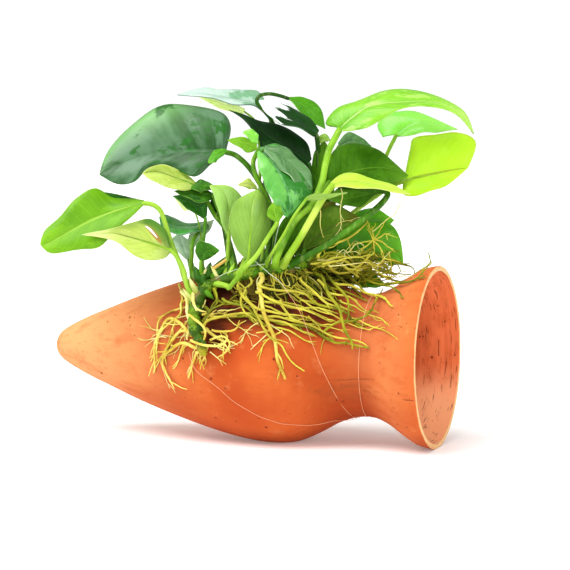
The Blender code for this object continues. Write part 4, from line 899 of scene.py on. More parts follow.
# looks are those of the front, the back and the stalk; foot is the stalk's place on the rhizome, and
# stalkOf names the leaf whose stalk it follows; a row of the blade is its middle, then how far its left and
# its right edge lie from there, with the tip last
leaves = {
    "leaf_great_dark": {
        "looks": ("greyGloss", "paleUnder", "midStalk"), "wave": 0.03, "waves": 4.2, "slot": "dark_leaf",
        "stalkRadius": 1.3,
        "stalk": ((-7, 86, -13), (-5, 97, -9), (-7, 105, -8), (-11, 113, -8), (-16, 120.5, -8),
            (-21.5, 125.5, -8)),
        "blade": ((-26, 127, -8, 0, 1.4, 0.6, -1, -1.2, -0.6), (-30, 127.5, -8, 6, 11, 5, -3, -6, -3),
            (-37, 127.5, -8, 8.5, 17.1, 8, -2.5, -11.5, -5), (-48, 127, -8, 4, 21, 10, -1, -7, -4),
            (-58, 126, -9, 1, 20, 10, -1, -5.3, -3), (-67, 123.5, -10, -2, 14, 8, 1, -9.7, -4),
            (-75, 120.5, -11, -3, 6.5, 5, 1, -7.3, -3), (-81.5, 117, -12))},
    "leaf_low_left": {
        "looks": ("brightThin", "brightThin", "yellowStalk"), "wave": 0.05, "slot": "bright_leaf",
        "stalkRadius": 1.2,
        "stalk": ((-43.4, 70, -14), (-46, 77.4, -16), (-50, 87, -17), (-53, 96.5, -16), (-55, 101.5, -15),
            (-58.5, 104, -14)),
        "blade": ((-62, 104.5, -14, 0, 1.2, 1, -0.6, -1.1, -0.5), (-68, 103, -14, 1, 3.3, 4, 1.5, -3.5, -3),
            (-76, 100.5, -14, 0, 7, 6, 2.5, -7.5, -5), (-85, 97, -15, 1, 14, 5, 4, -11, -5),
            (-93, 93, -16, 1, 13.5, 3, 4, -8.8, -3), (-100, 89, -17, 1.5, 10, 2, 3, -6, -1.5),
            (-104.8, 86.6, -17.5, -0.6, 6.2, 1.5, 1.2, -3.8, -0.9), (-107.6, 86.4, -17.6))},
    "leaf_pale_left": {
        "looks": ("piercedUnder", "piercedTop", "yellowStalk"), "ribFront": True, "slot": "mid_leaf",
        "stalkRadius": 1.1,
        "stalk": ((-42.6, 67, -20), (-44.6, 75, -21), (-47.6, 81, -20.5)),
        "blade": ((-50.5, 84, -20, -0.3, 1.5, 0.5, -0.3, -1.5, -0.5),
            (-55, 85.5, -20, 2.5, 7.3, -1, 1.5, -5.3, -3), (-61, 87.5, -20, 2, 10, 0, 0.5, -8.1, -4),
            (-68, 89.5, -20.5, 1, 6.7, -1, 0.5, -7, -3.5), (-75, 91.2, -21, 0, 2.6, -1, 1.5, -4.2, -3),
            (-82, 91, -21, 0, 1.2, 1, 1, -1.4, -1), (-89.5, 90.6, -21.5))},
    "leaf_under_great": {
        "looks": ("paleUnder", "midTop", "greenStalk"), "ribFront": True, "slot": "mid_leaf",
        "stalkRadius": 1.1,
        "stalk": ((-22, 78, -14), (-24, 86, -12), (-26.5, 93.5, -12), (-31, 99.5, -12), (-34, 105, -12),
            (-37, 109.5, -12)),
        "blade": ((-39.5, 112, -12, 0.5, 1.5, 1, -0.7, -1, -1), (-44, 114, -12, 0.5, 3, 3, -1, -4, -5),
            (-49, 116, -13, 0.5, 4, -1, -1.5, -4.7, -5), (-54.5, 118, -13, 0.5, 3.5, -2, -1.5, -4.7, -5),
            (-59, 118.5, -13, 0, 2.2, -2, -1, -3.2, -4), (-62.8, 117.6, -15))},
    "leaf_small_dark": {
        "looks": ("deepTop", "paleUnder", "greenStalk"), "slot": "dark_leaf", "stalkRadius": 0.8,
        "stalk": ((-36, 76, -13), (-36.3, 84, -17), (-35.4, 92, -17)),
        "blade": ((-35, 98, -16, 0.6, 1, 0, -0.5, -0.4, 0), (-38, 101.5, -15, 3.6, 2.5, 0, -2.5, -1, -2),
            (-42, 104.5, -15, 4, 2.7, -0.4, -1.8, -1.7, -2.5), (-46, 106.8, -15, 2, 1.5, -0.2, -1, -1, -2),
            (-49.5, 107.8, -15.5))},
    "leaf_teal_edge": {
        "looks": ("tealTop", "tealTop", "greenStalk"), "slot": "dark_leaf", "stalkRadius": 1,
        "stalk": ((-40.8, 74, -13), (-41, 82.7, -15), (-40.4, 88, -13), (-38, 91.6, -7)),
        "blade": ((-33.5, 95, 0, 0.1, 1.4, 4, -0.1, -2, -4), (-38.5, 93.8, 0, 0.1, 1.6, 11, -0.1, -1.8, -11),
            (-44, 93.3, 1, 0, 1.9, 14, 0, -2.1, -15), (-49.5, 94.6, 0, 0.2, 3.2, 11, -0.3, -3.2, -11),
            (-53, 96.5, 0, 0.8, 3.1, 6, -0.6, -3.5, -6), (-55.4, 98.4, 0))},
    "leaf_blue_back": {
        "looks": ("blueBack", "hazeTop", "greenStalk"), "slot": "dark_leaf", "stalkRadius": 0.7,
        "stalk": ((-40.8, 69, -7), (-41.6, 75, -3)),
        "blade": ((-42.5, 79.5, 1, -0.7, 0.3, 0, 0.5, 0.3, 0), (-44.5, 84, 2, -4, 0.5, 0, 3.5, 0, 1),
            (-46, 88, 3, -4, 0.2, -1, 4, 0, 2), (-47, 91.2, 4))},
    "leaf_little_green": {
        "looks": ("midTop", "lightUnder", "greenStalk"), "slot": "mid_leaf", "stalkRadius": 0.8,
        "stalk": ((-36.6, 73, -19), (-37.2, 76, -20.5)),
        "blade": ((-37, 79.3, -21, -0.6, 0.5, 0, 0.6, -0.1, 0), (-36, 81.5, -21, -3.6, 2.5, -1, 1.5, -1.7, 1),
            (-34.5, 83.5, -21, -3, 4.3, -1, 2.5, -2.3, 1), (-32, 84, -21, -1.5, 3, -1, 1.7, -1.5, 1),
            (-28.8, 83.8, -21))},
    "leaf_upright_left": {
        "looks": ("uprightUnder", "midTop", "yellowStalk"), "ribFront": True, "slot": "mid_leaf",
        "stalkRadius": 1,
        "stalk": ((-25.6, 77, -17), (-25, 84, -17)),
        "blade": ((-24.6, 90, -17, -0.7, 0.5, 0, 0.6, 0.5, 0), (-24.5, 97, -17, -3.5, -1, -1, 4.9, 0, 2),
            (-25, 103, -17, -4.6, 0, -1.5, 7, -0.5, 3), (-26, 108, -17, -5.4, 0, -1, 6.6, -0.5, 3),
            (-28.5, 111, -17, -4.3, 0.3, -0.5, 4.3, 1, 1), (-33, 112.5, -17.5))},
    "leaf_broad_front": {
        "looks": ("freshUnder", "midTop", "yellowStalk"), "ribFront": True, "slot": "mid_leaf",
        "stalkRadius": 1.2,
        "stalk": ((-18, 77, -27),),
        "blade": ((-16, 79.5, -29, -1.3, 0.7, 0, 1.2, 0.7, 0), (-15.7, 84, -30, -5, 0, 3, 4.9, 0, 3),
            (-15.3, 90, -30.5, -8.3, 0.5, 4.5, 7.8, 0, 4.5), (-14.8, 96.5, -30, -9.5, 1, 5, 8.5, 0.5, 5),
            (-14.2, 103, -29, -8.1, 1, 5, 6.7, 0.5, 4), (-13.2, 107.5, -28, -4.8, 0.3, 2, 3.9, 0.2, 2),
            (-12, 110.5, -27))},
    "leaf_bent_stalk": {
        "looks": ("brightThin", "lightUnder", "yellowStalk"), "slot": "bright_leaf", "foot": 5.1,
        "stalkRadius": 1.1,
        "stalk": ((-25.6, 68.2, -27), (-24.2, 67.8, -28.5), (-17.6, 76.2, -34), (-12.5, 81.6, -34),
            (-7.5, 89.5, -33)),
        "blade": ((-3.3, 96, -33, -0.7, 0.4, 0, 0.6, 0.4, 0), (-4.2, 99.5, -33, -3.4, -0.5, 1, 3.2, 0, 0),
            (-4.8, 102.5, -33, -2.5, -0.5, 1, 2.8, 0.5, 0), (-4.8, 105.2, -33))},
    "leaf_tiny_pale": {
        "looks": ("paleUnder", "midTop", "yellowStalk"), "slot": "bright_leaf", "stalkRadius": 0.6,
        "stalk": ((-16.5, 84, -14), (-13, 96, -14), (-11.5, 106, -14)),
        "blade": ((-12.5, 111, -14, 0.1, 0.5, 0.4, -0.2, -0.4, -0.4),
            (-16, 112.9, -14, 0.2, 2.3, 2, 0, -1.9, -1), (-20.8, 112.6, -14))},
    "leaf_hanging_mint": {
        "looks": ("mintGloss", "lightUnder", "greenStalk"), "wave": 0.07, "ripple": 1.1, "ripples": 3.2,
        "slot": "bright_leaf", "stalkRadius": 1.1,
        "stalk": ((-4.4, 87, -20), (-4, 97, -22), (-8, 107, -23), (-12.5, 116, -23), (-14, 122.5, -21)),
        "blade": ((-11.6, 128.2, -21, 0.4, 0.8, 0, -0.5, -0.8, 0),
            (-7, 124, -24, 2.5, 6.2, 4, -5.1, -0.5, -2), (-3.5, 119, -27, 6, 8, 7, -7.7, -0.5, -2),
            (-0.5, 113.5, -29, 8.5, 6, 8, -8.3, -0.8, -3), (1.5, 108, -30, 10.5, 4.5, 7, -7.3, -1.7, -3),
            (2, 103, -30.5, 7, 1.5, 5.5, -5.2, -1.5, -2), (1, 98.3, -30.5))},
    "leaf_small_yellow": {
        "looks": ("brightThin", "lightUnder", "yellowStalk"), "slot": "bright_leaf", "stalkRadius": 0.7,
        "stalk": ((-9.5, 86, -15), (-9, 98, -13), (-11, 112, -13), (-11, 122, -13)),
        "blade": ((-12.5, 129, -13, 0.2, 0.9, 0.3, -0.3, -0.8, -0.4),
            (-16, 130.3, -13, 0.5, 2.1, 2, 0.5, -3.5, -2), (-20, 131.7, -13, 0, 1.9, 1, 0, -2.7, -1),
            (-25.3, 132.4, -13))},
    "leaf_black_green": {
        "looks": ("blackGreen", "darkUnder", "darkStalk"), "slot": "dark_leaf", "stalkRadius": 1.1,
        "stalk": ((-1.5, 84, -10), (3, 96, -5), (8.6, 107, -5), (11, 116, -7.4)),
        "blade": ((10.5, 122, -9, 1.1, 1.8, 0.5, -0.2, -2.2, -0.5),
            (6, 125.5, -8, 3.5, 5.5, 3, -2.5, -5.5, -5), (0, 129.5, -7, 3.5, 6.7, 4, -4, -7.5, -6),
            (-6, 133, -6, 3, 5.9, 4, -5, -5.5, -4), (-11.5, 137, -5, 1.5, 3.4, 3, -1.2, -3.5, -3),
            (-17.5, 142.3, -3.6, 0.3, 0.9, 0.6, -0.7, -0.9, -0.6), (-25, 145.8, -2.6))},
    "leaf_white_gloss": {
        "looks": ("whiteGloss", "brightThin", "darkStalk"), "slot": "bright_leaf", "stalkRadius": 1,
        "stalk": ((-11, 84, -8), (-10, 105, 6), (-7, 125, 13), (-6, 138, 14)),
        "blade": ((-7, 144, 13, 0, 1.3, 1, -0.6, -1.2, -1), (-13, 148, 12, 1, 5.7, 8, 0, -1, -6),
            (-20, 150, 12, 0, 4.5, 8, 0, -2, -7), (-28, 151.3, 12, 0, 2.9, 6, 0, -2, -7),
            (-36, 152.5, 12, 1, 3.1, 4, 0, -1.1, -6), (-47.3, 152.2, 11))},
    "leaf_white_dark": {
        "looks": ("glareDark", "whiteGloss", "darkStalk"), "slot": "dark_leaf", "stalkRadius": 1.2,
        "stalk": ((2.6, 84, -10), (8, 97, 0), (12.5, 110, 1), (14.6, 122, -1), (14.4, 130, -6)),
        "blade": ((13.8, 134.6, -8, 1.2, 1.8, 0.4, -1.4, -0.8, -1),
            (8, 139.5, -9, 2.5, 2.7, 4, -0.5, -2.5, -4), (2, 142.5, -9, 3, 3.1, 5, -1, -3.6, -5),
            (-3, 145.5, -9, 2, 3.1, 4, -1.5, -4.7, -5), (-7.5, 147.6, -9, 1, 2.2, 3, -1, -3.1, -3),
            (-11.5, 149.6, -9))},
    "leaf_top_arc": {
        "looks": ("arcTop", "brightThin", "darkStalk"), "slot": "bright_leaf", "stalkRadius": 0.9,
        "stalk": ((-6.5, 84, -9), (-2, 105, 5), (-1, 125, 6), (-4.6, 138.5, 3), (-9.4, 145.4, 0),
            (-12.4, 148.8, 0), (-11.2, 151.8, 1), (-7, 152.7, 2.6), (-2.4, 151.9, 4.6)),
        "blade": ((1.5, 150.6, 6, 0.5, 0.6, 0.5, 0.5, -0.6, -0.5), (6, 148.5, 6, 1, 2.5, 3, -1, -1.6, -3),
            (10.5, 145.5, 6, 2, 4, 3, -1.5, -2.7, -3), (14.5, 141.8, 5, 1.8, 2.2, 3, -2, -1.9, -3),
            (17.6, 137.3, 4))},
    "leaf_great_arch": {
        "looks": ("archBright", "yellowThin", "freshStalk"), "wave": 0.05, "slot": "bright_leaf",
        "stalkRadius": 1.6,
        "stalk": ((-3.6, 81, -31), (4.4, 96.8, -27), (11.4, 103.6, -24), (16, 113, -22), (17.8, 122, -19),
            (19.6, 128.5, -16), (22.3, 133.8, -13)),
        "blade": ((24, 137, -12, -1.2, 1.2, 0.6, 1, -0.7, -0.8), (26.5, 139.5, -12, -8.5, 0, 4, 2, -3.2, -3),
            (31, 143.2, -12, -8, 2.8, 6, 5, -5.6, -5), (36, 146.5, -12, -4, 3, 7, 5, -5.7, -5),
            (43, 148.2, -12, -1, 5.6, 8, 3.5, -4.2, -5), (52, 148.8, -12, -1, 6, 8, 2, -2.4, -4),
            (62, 149.2, -12, -0.5, 3.7, 7, 0, -1.9, -3), (71, 147.8, -12, 1, 1.4, 5, -0.5, -1.8, -2),
            (78, 143.2, -12, 1.5, 1, 3, -1, -1, -1.5), (83, 135, -12))},
    "leaf_mint_right": {
        "looks": ("freshMint", "lightUnder", "yellowStalk"), "slot": "bright_leaf", "stalkRadius": 1,
        "stalk": ((9, 84, -8), (18, 97, 5), (32, 110, 10), (42, 121, 11), (46.4, 129.5, 9)),
        "blade": ((49, 134.5, 8, -6, -0.9, 2, 1, -0.7, 0), (52, 136.5, 8, -11, 2.1, 6, -0.2, -2.6, -3),
            (55, 138.5, 8, -10.5, 5.3, 7, 2, -3.6, -4), (59.5, 140, 8, -6, 5, 7, 3.5, -4.4, -4),
            (65, 139.8, 8, -2.5, 3.2, 5, 3.5, -3.8, -3), (75.8, 137, 8))},
    "leaf_yellow_fold": {
        "looks": ("yellowThin", "brightThin", "yellowStalk"), "ribFront": True, "slot": "bright_leaf",
        "stalkRadius": 1.1,
        "stalk": ((13.6, 84, -14), (19, 91, -7), (30, 100.5, 0), (42, 109, 1), (48, 112.6, 0)),
        "blade": ((52.5, 114.3, -2, 0.1, 1.1, 0, -0.5, -1.7, 0),
            (56, 115.3, -3, -0.8, 12.7, 6, -3.5, -7.3, -3), (60, 116.2, -3, -3, 17.2, 6, -3, -8.3, -4),
            (65.5, 117.4, -3, 0.5, 17.2, 6, -2.5, -8.1, -4), (71.5, 118.6, -3, 3.5, 17, 6, -2, -7, -3),
            (76.5, 119.5, -3, 7.3, 11.9, 4, -1.5, -4.2, -2), (80.4, 120.1, -3))},
    "leaf_green_vault": {
        "looks": ("darkUnder", "midTop", "greenStalk"), "slot": "mid_leaf", "stalkRadius": 1.2,
        "stalk": ((3, 84, -21), (9, 96, -19), (15, 107, -12)),
        "blade": ((19.5, 114, -7, -0.5, 1.4, 0.4, 0.5, -1.4, -0.4),
            (24, 116.5, -6, -4.2, 7.5, 4, 2, -4.5, -3), (30, 118.5, -6, -6, 11.1, 6, 2, -6.5, -4),
            (36.5, 119.8, -6, -4.5, 10.9, 6, 2, -7.3, -4), (43, 120, -6, -2.5, 8, 5, 1.5, -6.8, -3),
            (48.5, 118.9, -6, -1, 3.9, 2, 1, -5.1, -2), (54.2, 116.5, -6))},
    "leaf_pale_edge": {
        "looks": ("paleBright", "midTop", "brightStalk"), "slot": "bright_leaf", "stalkRadius": 1.6,
        "stalk": ((1.6, 81.4, -30), (6.5, 89, -31), (15.8, 105.2, -30)),
        "blade": ((20.8, 112.3, -25, -0.8, 1.2, 1, 0.7, -1.1, -1),
            (25, 113.5, -22, -0.5, 3.3, 5, 0, -1.7, -4), (31, 113.8, -20, 0.5, 3.7, 5, 0, -2.3, -5),
            (38, 112.7, -19, 1, 2.5, 4, 0, -1.9, -4), (45, 111.3, -18, 1.5, 1.2, 4, 0, -1.1, -3),
            (50.5, 109.9, -18, 1, 0.7, 2, 0, -0.9, -2), (55.3, 108.2, -18))},
    "leaf_dark_lower": {
        "looks": ("darkUnder", "darkUnder", "midStalk"), "slot": "dark_leaf", "stalkRadius": 1.5,
        "stalk": ((8, 80.6, -28), (19.8, 87.1, -25), (33.9, 97.2, -20), (41.6, 103.6, -16), (45, 107.8, -13)),
        "blade": ((44.6, 109.6, -12, 0, 0.6, 0.6, -1, -0.4, -0.6), (40, 109, -11, 0, 3, 3, -0.5, -1.2, -2),
            (33, 107.5, -10, 0, 6.1, 5, 0, -4.3, -4), (26, 106.3, -10, 0, 6.9, 5, 0.5, -2.7, -3),
            (18.4, 106.3, -10))},
    "leaf_spike": {
        "looks": ("lightUnder", "midTop", "yellowStalk"), "slot": "bright_leaf", "stalkRadius": 0.7,
        "stalk": ((-6, 82, -32), (-1, 90, -35), (4, 99, -35)),
        "blade": ((9.5, 106.6, -34, -0.1, 0.7, 0, 0.2, -0.7, 0), (13, 107.2, -34, 1, 1.6, 1, -0.4, -1.4, 0),
            (18, 107.6, -33, 0, 0.9, 0.4, 0, -1, -0.4), (27.5, 109.2, -32))},
    "leaf_dark_middle": {
        "looks": ("darkUnder", "blackGreen", "darkStalk"), "slot": "dark_leaf", "stalkRadius": 1,
        "stalk": ((-3, 81.5, -21),),
        "blade": ((-4.2, 84, -17, -0.8, 0.6, 0, 0.8, 0.2, 0), (-1, 88, -16, -2.6, 1, 0, 2.5, -1, 0),
            (2, 93, -16, -3.2, 1.5, 0, 3, -1.5, 0), (5.5, 98.5, -16, -2.9, 1, 0, 2.5, -1.5, 0),
            (11, 105.2, -16))},
    "leaf_low_middle": {
        "looks": ("oliveUnder", "midTop", "greenStalk"), "slot": "mid_leaf", "stalkRadius": 1,
        "stalk": ((7.4, 81.5, -19),),
        "blade": ((8.6, 84.5, -16, -0.6, 0.7, 0, 0.6, -0.5, 0), (12, 88, -14, -2.6, 4, 2, 2.4, -2, -2),
            (17, 92, -13, -4, 8, 4, 4, -2.5, -2), (23.5, 95.3, -13, -2.5, 8.3, 4, 3.5, -2.1, -2),
            (28.5, 97.3, -13, -1.5, 4.3, 2, 1.7, -1.3, -1), (33.2, 97.8, -13))},
    "leaf_right_upper": {
        "looks": ("freshTop", "midTop", "greenStalk"), "slot": "mid_leaf", "stalkRadius": 1,
        "stalk": ((14, 84, -6), (19, 87.4, 1)),
        "blade": ((25, 91.5, 5, -0.4, 0.9, 0, 0.6, -0.7, 0), (30, 94.5, 6, -1.5, 4, 1, 2, -3.5, -1),
            (36, 97, 7, -1.5, 4.8, 2, 2, -4, -2), (42, 98, 7, -1, 3.6, 2, 2, -4.5, -2), (48, 97, 7))},
    "leaf_right_lower": {
        "looks": ("freshTop", "lightUnder", "greenStalk"), "slot": "mid_leaf", "stalkRadius": 1,
        "stalk": ((19.5, 81.4, -8), (21, 83, -6)),
        "blade": ((22.5, 84, -5, -0.1, 1.6, 0, 0.5, -1.4, 0), (31, 87, -4, -1, 8.5, 2, 1, -8, -3),
            (38.5, 88, -4, 0, 9, 4, 1.5, -9, -4), (44.5, 86.5, -4, 1.5, 9, 4, 1, -9, -3),
            (49, 82.5, -4, 1.6, 6, 1, 0, -5, -2), (52, 77.8, -5))},
    "byTheNeck": {
        "looks": ("freshTop", "lightUnder", "greenStalk"), "slot": "mid_leaf", "stalkRadius": 0.7,
        "stalk": ((20, 76.5, -8), (26, 72.5, -7)),
        "blade": ((29.5, 70, -6, 0, 0.8, 0, 0.2, -0.8, 0), (34, 71, -6, -1, 3.8, 2, 0, -3.4, -2),
            (39, 70.5, -6, -0.5, 3.5, 2, 0, -3.1, -2), (44.4, 68.5, -7))},
    "smallMint": {
        "looks": ("freshMint", "lightUnder", "greenStalk"), "slot": "bright_leaf", "stalkRadius": 0.5,
        "stalk": ((-8, 100, -12), (-9.5, 120, -12)),
        "blade": ((-11.8, 132, -11, 0.2, 2.5, 0, -0.6, -2, 0), (-15, 134, -11, 0.4, 3, 1, -0.5, -1.7, -1),
            (-18.6, 136, -11))},
    "tealLobe": {
        "looks": ("midTop", "midTop", "greenStalk"), "slot": "dark_leaf", "stalkRadius": 0.6,
        "stalk": ((-24, 86, -13), (-28, 98, -13), (-31, 108, -13)),
        "blade": ((-32, 111.6, -14, 0.2, 1.2, 0, -0.4, -1, 0),
            (-37.4, 112.3, -14, 0.4, 2.5, 2, -0.2, -2.5, -2), (-42, 111, -14))},
    "midLeft": {
        "looks": ("midTop", "lightUnder", "greenStalk"), "slot": "mid_leaf", "stalkRadius": 0.7,
        "stalk": ((-25, 88, -12), (-29, 100, -12)),
        "blade": ((-31.7, 107.8, -13, 0.1, 1, 0, -0.3, -1.2, 0), (-36, 108.3, -13, 0, 2.5, 2, 0, -3.5, -3),
            (-42, 109, -13, 0, 1.8, 1, -0.6, -2.4, -3), (-49, 110, -14))},
    "darkBehind": {
        "looks": ("deepTop", "midTop", "darkStalk"), "slot": "dark_leaf", "stalkRadius": 0.6,
        "stalk": ((-27, 92, -10),),
        "blade": ((-29.5, 100, -10, -2, 1, 0, 1.9, 2, 0), (-30.5, 104, -10, -2.5, 0.5, 0, 2.5, 1, 0),
            (-31.5, 108, -10))},
    "paleStrip": {
        "looks": ("stripPale", "stripPale", "yellowStalk"), "slot": "bright_leaf", "stalkRadius": 0.5,
        "stalk": ((-10, 100, 8), (-10, 125, 12), (-12, 139, 12)),
        "blade": ((-18, 145, 12, 0.5, 1, 0, -0.4, -1.4, 0), (-25, 147.6, 12, 0, 1.8, 0, -1, -2.2, 0),
            (-32, 150, 12, 0, 1.2, 0, -1, -1.6, 0), (-38, 151.6, 12))},
    "darkFold": {
        "looks": ("darkUnder", "midTop", "midStalk"), "slot": "dark_leaf", "stalkRadius": 0.9,
        "stalk": ((-5.8, 78.4, -19),),
        "blade": ((-5.3, 79.6, -20, -0.9, 0.8, 0, 1.1, -0.3, 0),
            (-0.9, 87.1, -21, -3.5, 3.5, -3, 4.2, -2.5, 2), (4.4, 95, -22, -4.2, 3.2, -4, 3.8, -3.8, 3),
            (10.1, 101.6, -22, -2.5, 3.4, -4, 3.7, -2, 3), (17.6, 106.5, -22))},
    "backDark": {
        "looks": ("darkUnder", "midTop", "midStalk"), "slot": "dark_leaf", "stalkRadius": 0.9,
        "stalk": ((4, 84, -8), (9, 92, -6)),
        "blade": ((14, 98, -4, -1.5, 1, 0, 2, 1, 0), (16, 108, -4, -5, 0, 0, 5, 0, 0),
            (17, 118, -4, -5.4, 1, 0, 5, 0, 0), (17, 126, -4, -4, 1, 0, 3.5, 0, 0), (17.5, 132, -4))},
    "greyLobe": {
        "looks": ("lightUnder", "midTop", "darkStalk"), "slot": "dark_leaf", "stalkRadius": 0.6,
        "stalk": ((9, 100, -3), (13.6, 118, -4)),
        "blade": ((14.3, 131.6, -6, 0.3, 1.8, 0, 0.2, -1.2, 0), (17, 133, -6, 0.5, 2.2, 1, 0, -1.5, -1),
            (20, 132.2, -6))},
    "hazeRight": {
        "looks": ("hazeGreen", "hazeGreen", "greenStalk"), "slot": "bright_leaf", "foot": 4.2,
        "stalkRadius": 0.6,
        "stalk": ((-39.6, 74, -6), (-41, 79.5, -2)),
        "blade": ((-41.5, 84, -1, -0.9, 0.8, 0, 0.7, 0.2, 0), (-40, 89, -1, -2.4, 0.8, 0, 3, -0.6, 0),
            (-36.5, 93.5, -1, -2.5, 0.9, 0, 3.1, -1.1, 0), (-31.2, 97.2, -1))},
    "paleSpot": {
        "looks": ("stripPale", "stripPale", "yellowStalk"), "slot": "bright_leaf", "foot": 4.6,
        "stalkRadius": 0.4,
        "stalk": ((-36.5, 78, -10), (-37, 90, -9), (-38.6, 98, -9)),
        "blade": ((-40.8, 102.6, -10, 0.2, 1, 0, -0.4, -0.8, 0), (-44, 103.8, -10, 1, 2.2, 0, -0.6, -2.2, 0),
            (-48.4, 106.8, -10))},
    "lowBack": {
        "looks": ("oliveUnder", "midTop", "greenStalk"), "slot": "mid_leaf", "foot": 9.8, "stalkRadius": 0.7,
        "stalk": ((4.6, 80.4, -14),),
        "blade": ((6, 82.4, -12, -1, 0.8, 0, 1, -0.4, 0), (8, 88, -11, -5.4, 2, 0, 5, -2, 0),
            (11, 95, -10, -7, 3, 0, 6, -3, 0), (15, 101, -9, -6.4, 3, 0, 5.4, -3, 0), (22.6, 105.4, -9))},
    "rightBack": {
        "looks": ("midTop", "lightUnder", "greenStalk"), "slot": "mid_leaf", "foot": 10.4, "stalkRadius": 0.7,
        "stalk": ((7, 80, -5),),
        "blade": ((9, 80.6, -3, -1, 1.2, 0, 0.6, -1.4, 0), (16, 83.4, -2, -2.6, 4.6, 0, 3, -4.8, 0),
            (23, 87, -2, -3.4, 5, 0, 5, -7, 0), (29, 91.6, -2, -4, 4.4, 0, 5, -5.6, 0), (35.6, 96.4, -2))},
    "lowLeftFold": {
        "looks": ("deepTop", "midTop", "yellowStalk"), "slot": "dark_leaf", "foot": 2.4, "stalkRadius": 0.5,
        "wave": 0.0, "ripple": 0.1,
        "stalkOf": "leaf_low_left",
        "blade": ((-62, 105, -13, 0, 0.6, 0.4, -0.2, -0.6, -0.4),
            (-68, 105.8, -10, 0.4, 1.1, 0.4, -0.2, -1.2, -0.6),
            (-74, 107.4, -8.4, 0.4, 0.9, 0.4, -0.4, -1, -0.6), (-79.6, 109.4, -8.4))},
    "greatLobe": {
        "looks": ("freshTop", "midTop", "midStalk"), "slot": "dark_leaf", "foot": 8.2, "stalkRadius": 0.5,
        "stalkOf": "leaf_great_dark",
        "blade": ((-26, 127.2, -11, 0.2, 0.8, 0.4, -0.4, -0.8, -0.4),
            (-29.4, 126, -12, 0.4, 2.4, 1.4, -0.2, -2.4, -1),
            (-31.6, 124.4, -12.4, -0.4, 2.2, 1, -0.2, -2.2, -1), (-34, 122.4, -13))},
    "mintFold": {
        "looks": ("foldShade", "lightUnder", "greenStalk"), "slot": "dark_leaf", "foot": 8.8,
        "stalkRadius": 0.5, "wave": 0.05, "ripple": 0.8,
        "stalkOf": "leaf_hanging_mint",
        "blade": ((-9, 128.8, -22.6, 0.4, 1, 0.6, -0.4, -1, -0.8),
            (-2, 125.4, -24.8, 2, 3.4, 2.8, -2, -3.4, -2.6),
            (3.6, 120.6, -25.3, 2.6, 3.2, 3.3, -2.6, -3.6, -3.7),
            (8.6, 114.8, -24.4, 2.6, 2.4, 1.4, -2.4, -2.6, -2.6), (12, 110.5, -24.6))},
    "tealBack": {
        "looks": ("foldShade", "midTop", "greenStalk"), "slot": "dark_leaf", "stalkRadius": 0.8,
        "stalk": ((12, 100, 2), (18, 118, 3)),
        "blade": ((23.5, 129.5, 4, -0.2, 1.5, 0, 0.5, -0.9, 0), (29, 132, 4, -1, 3.8, 1, 1, -3.4, -1),
            (34, 131, 4, 0, 2, 1, 0.4, -2.6, -1), (38, 129.5, 4))},
}

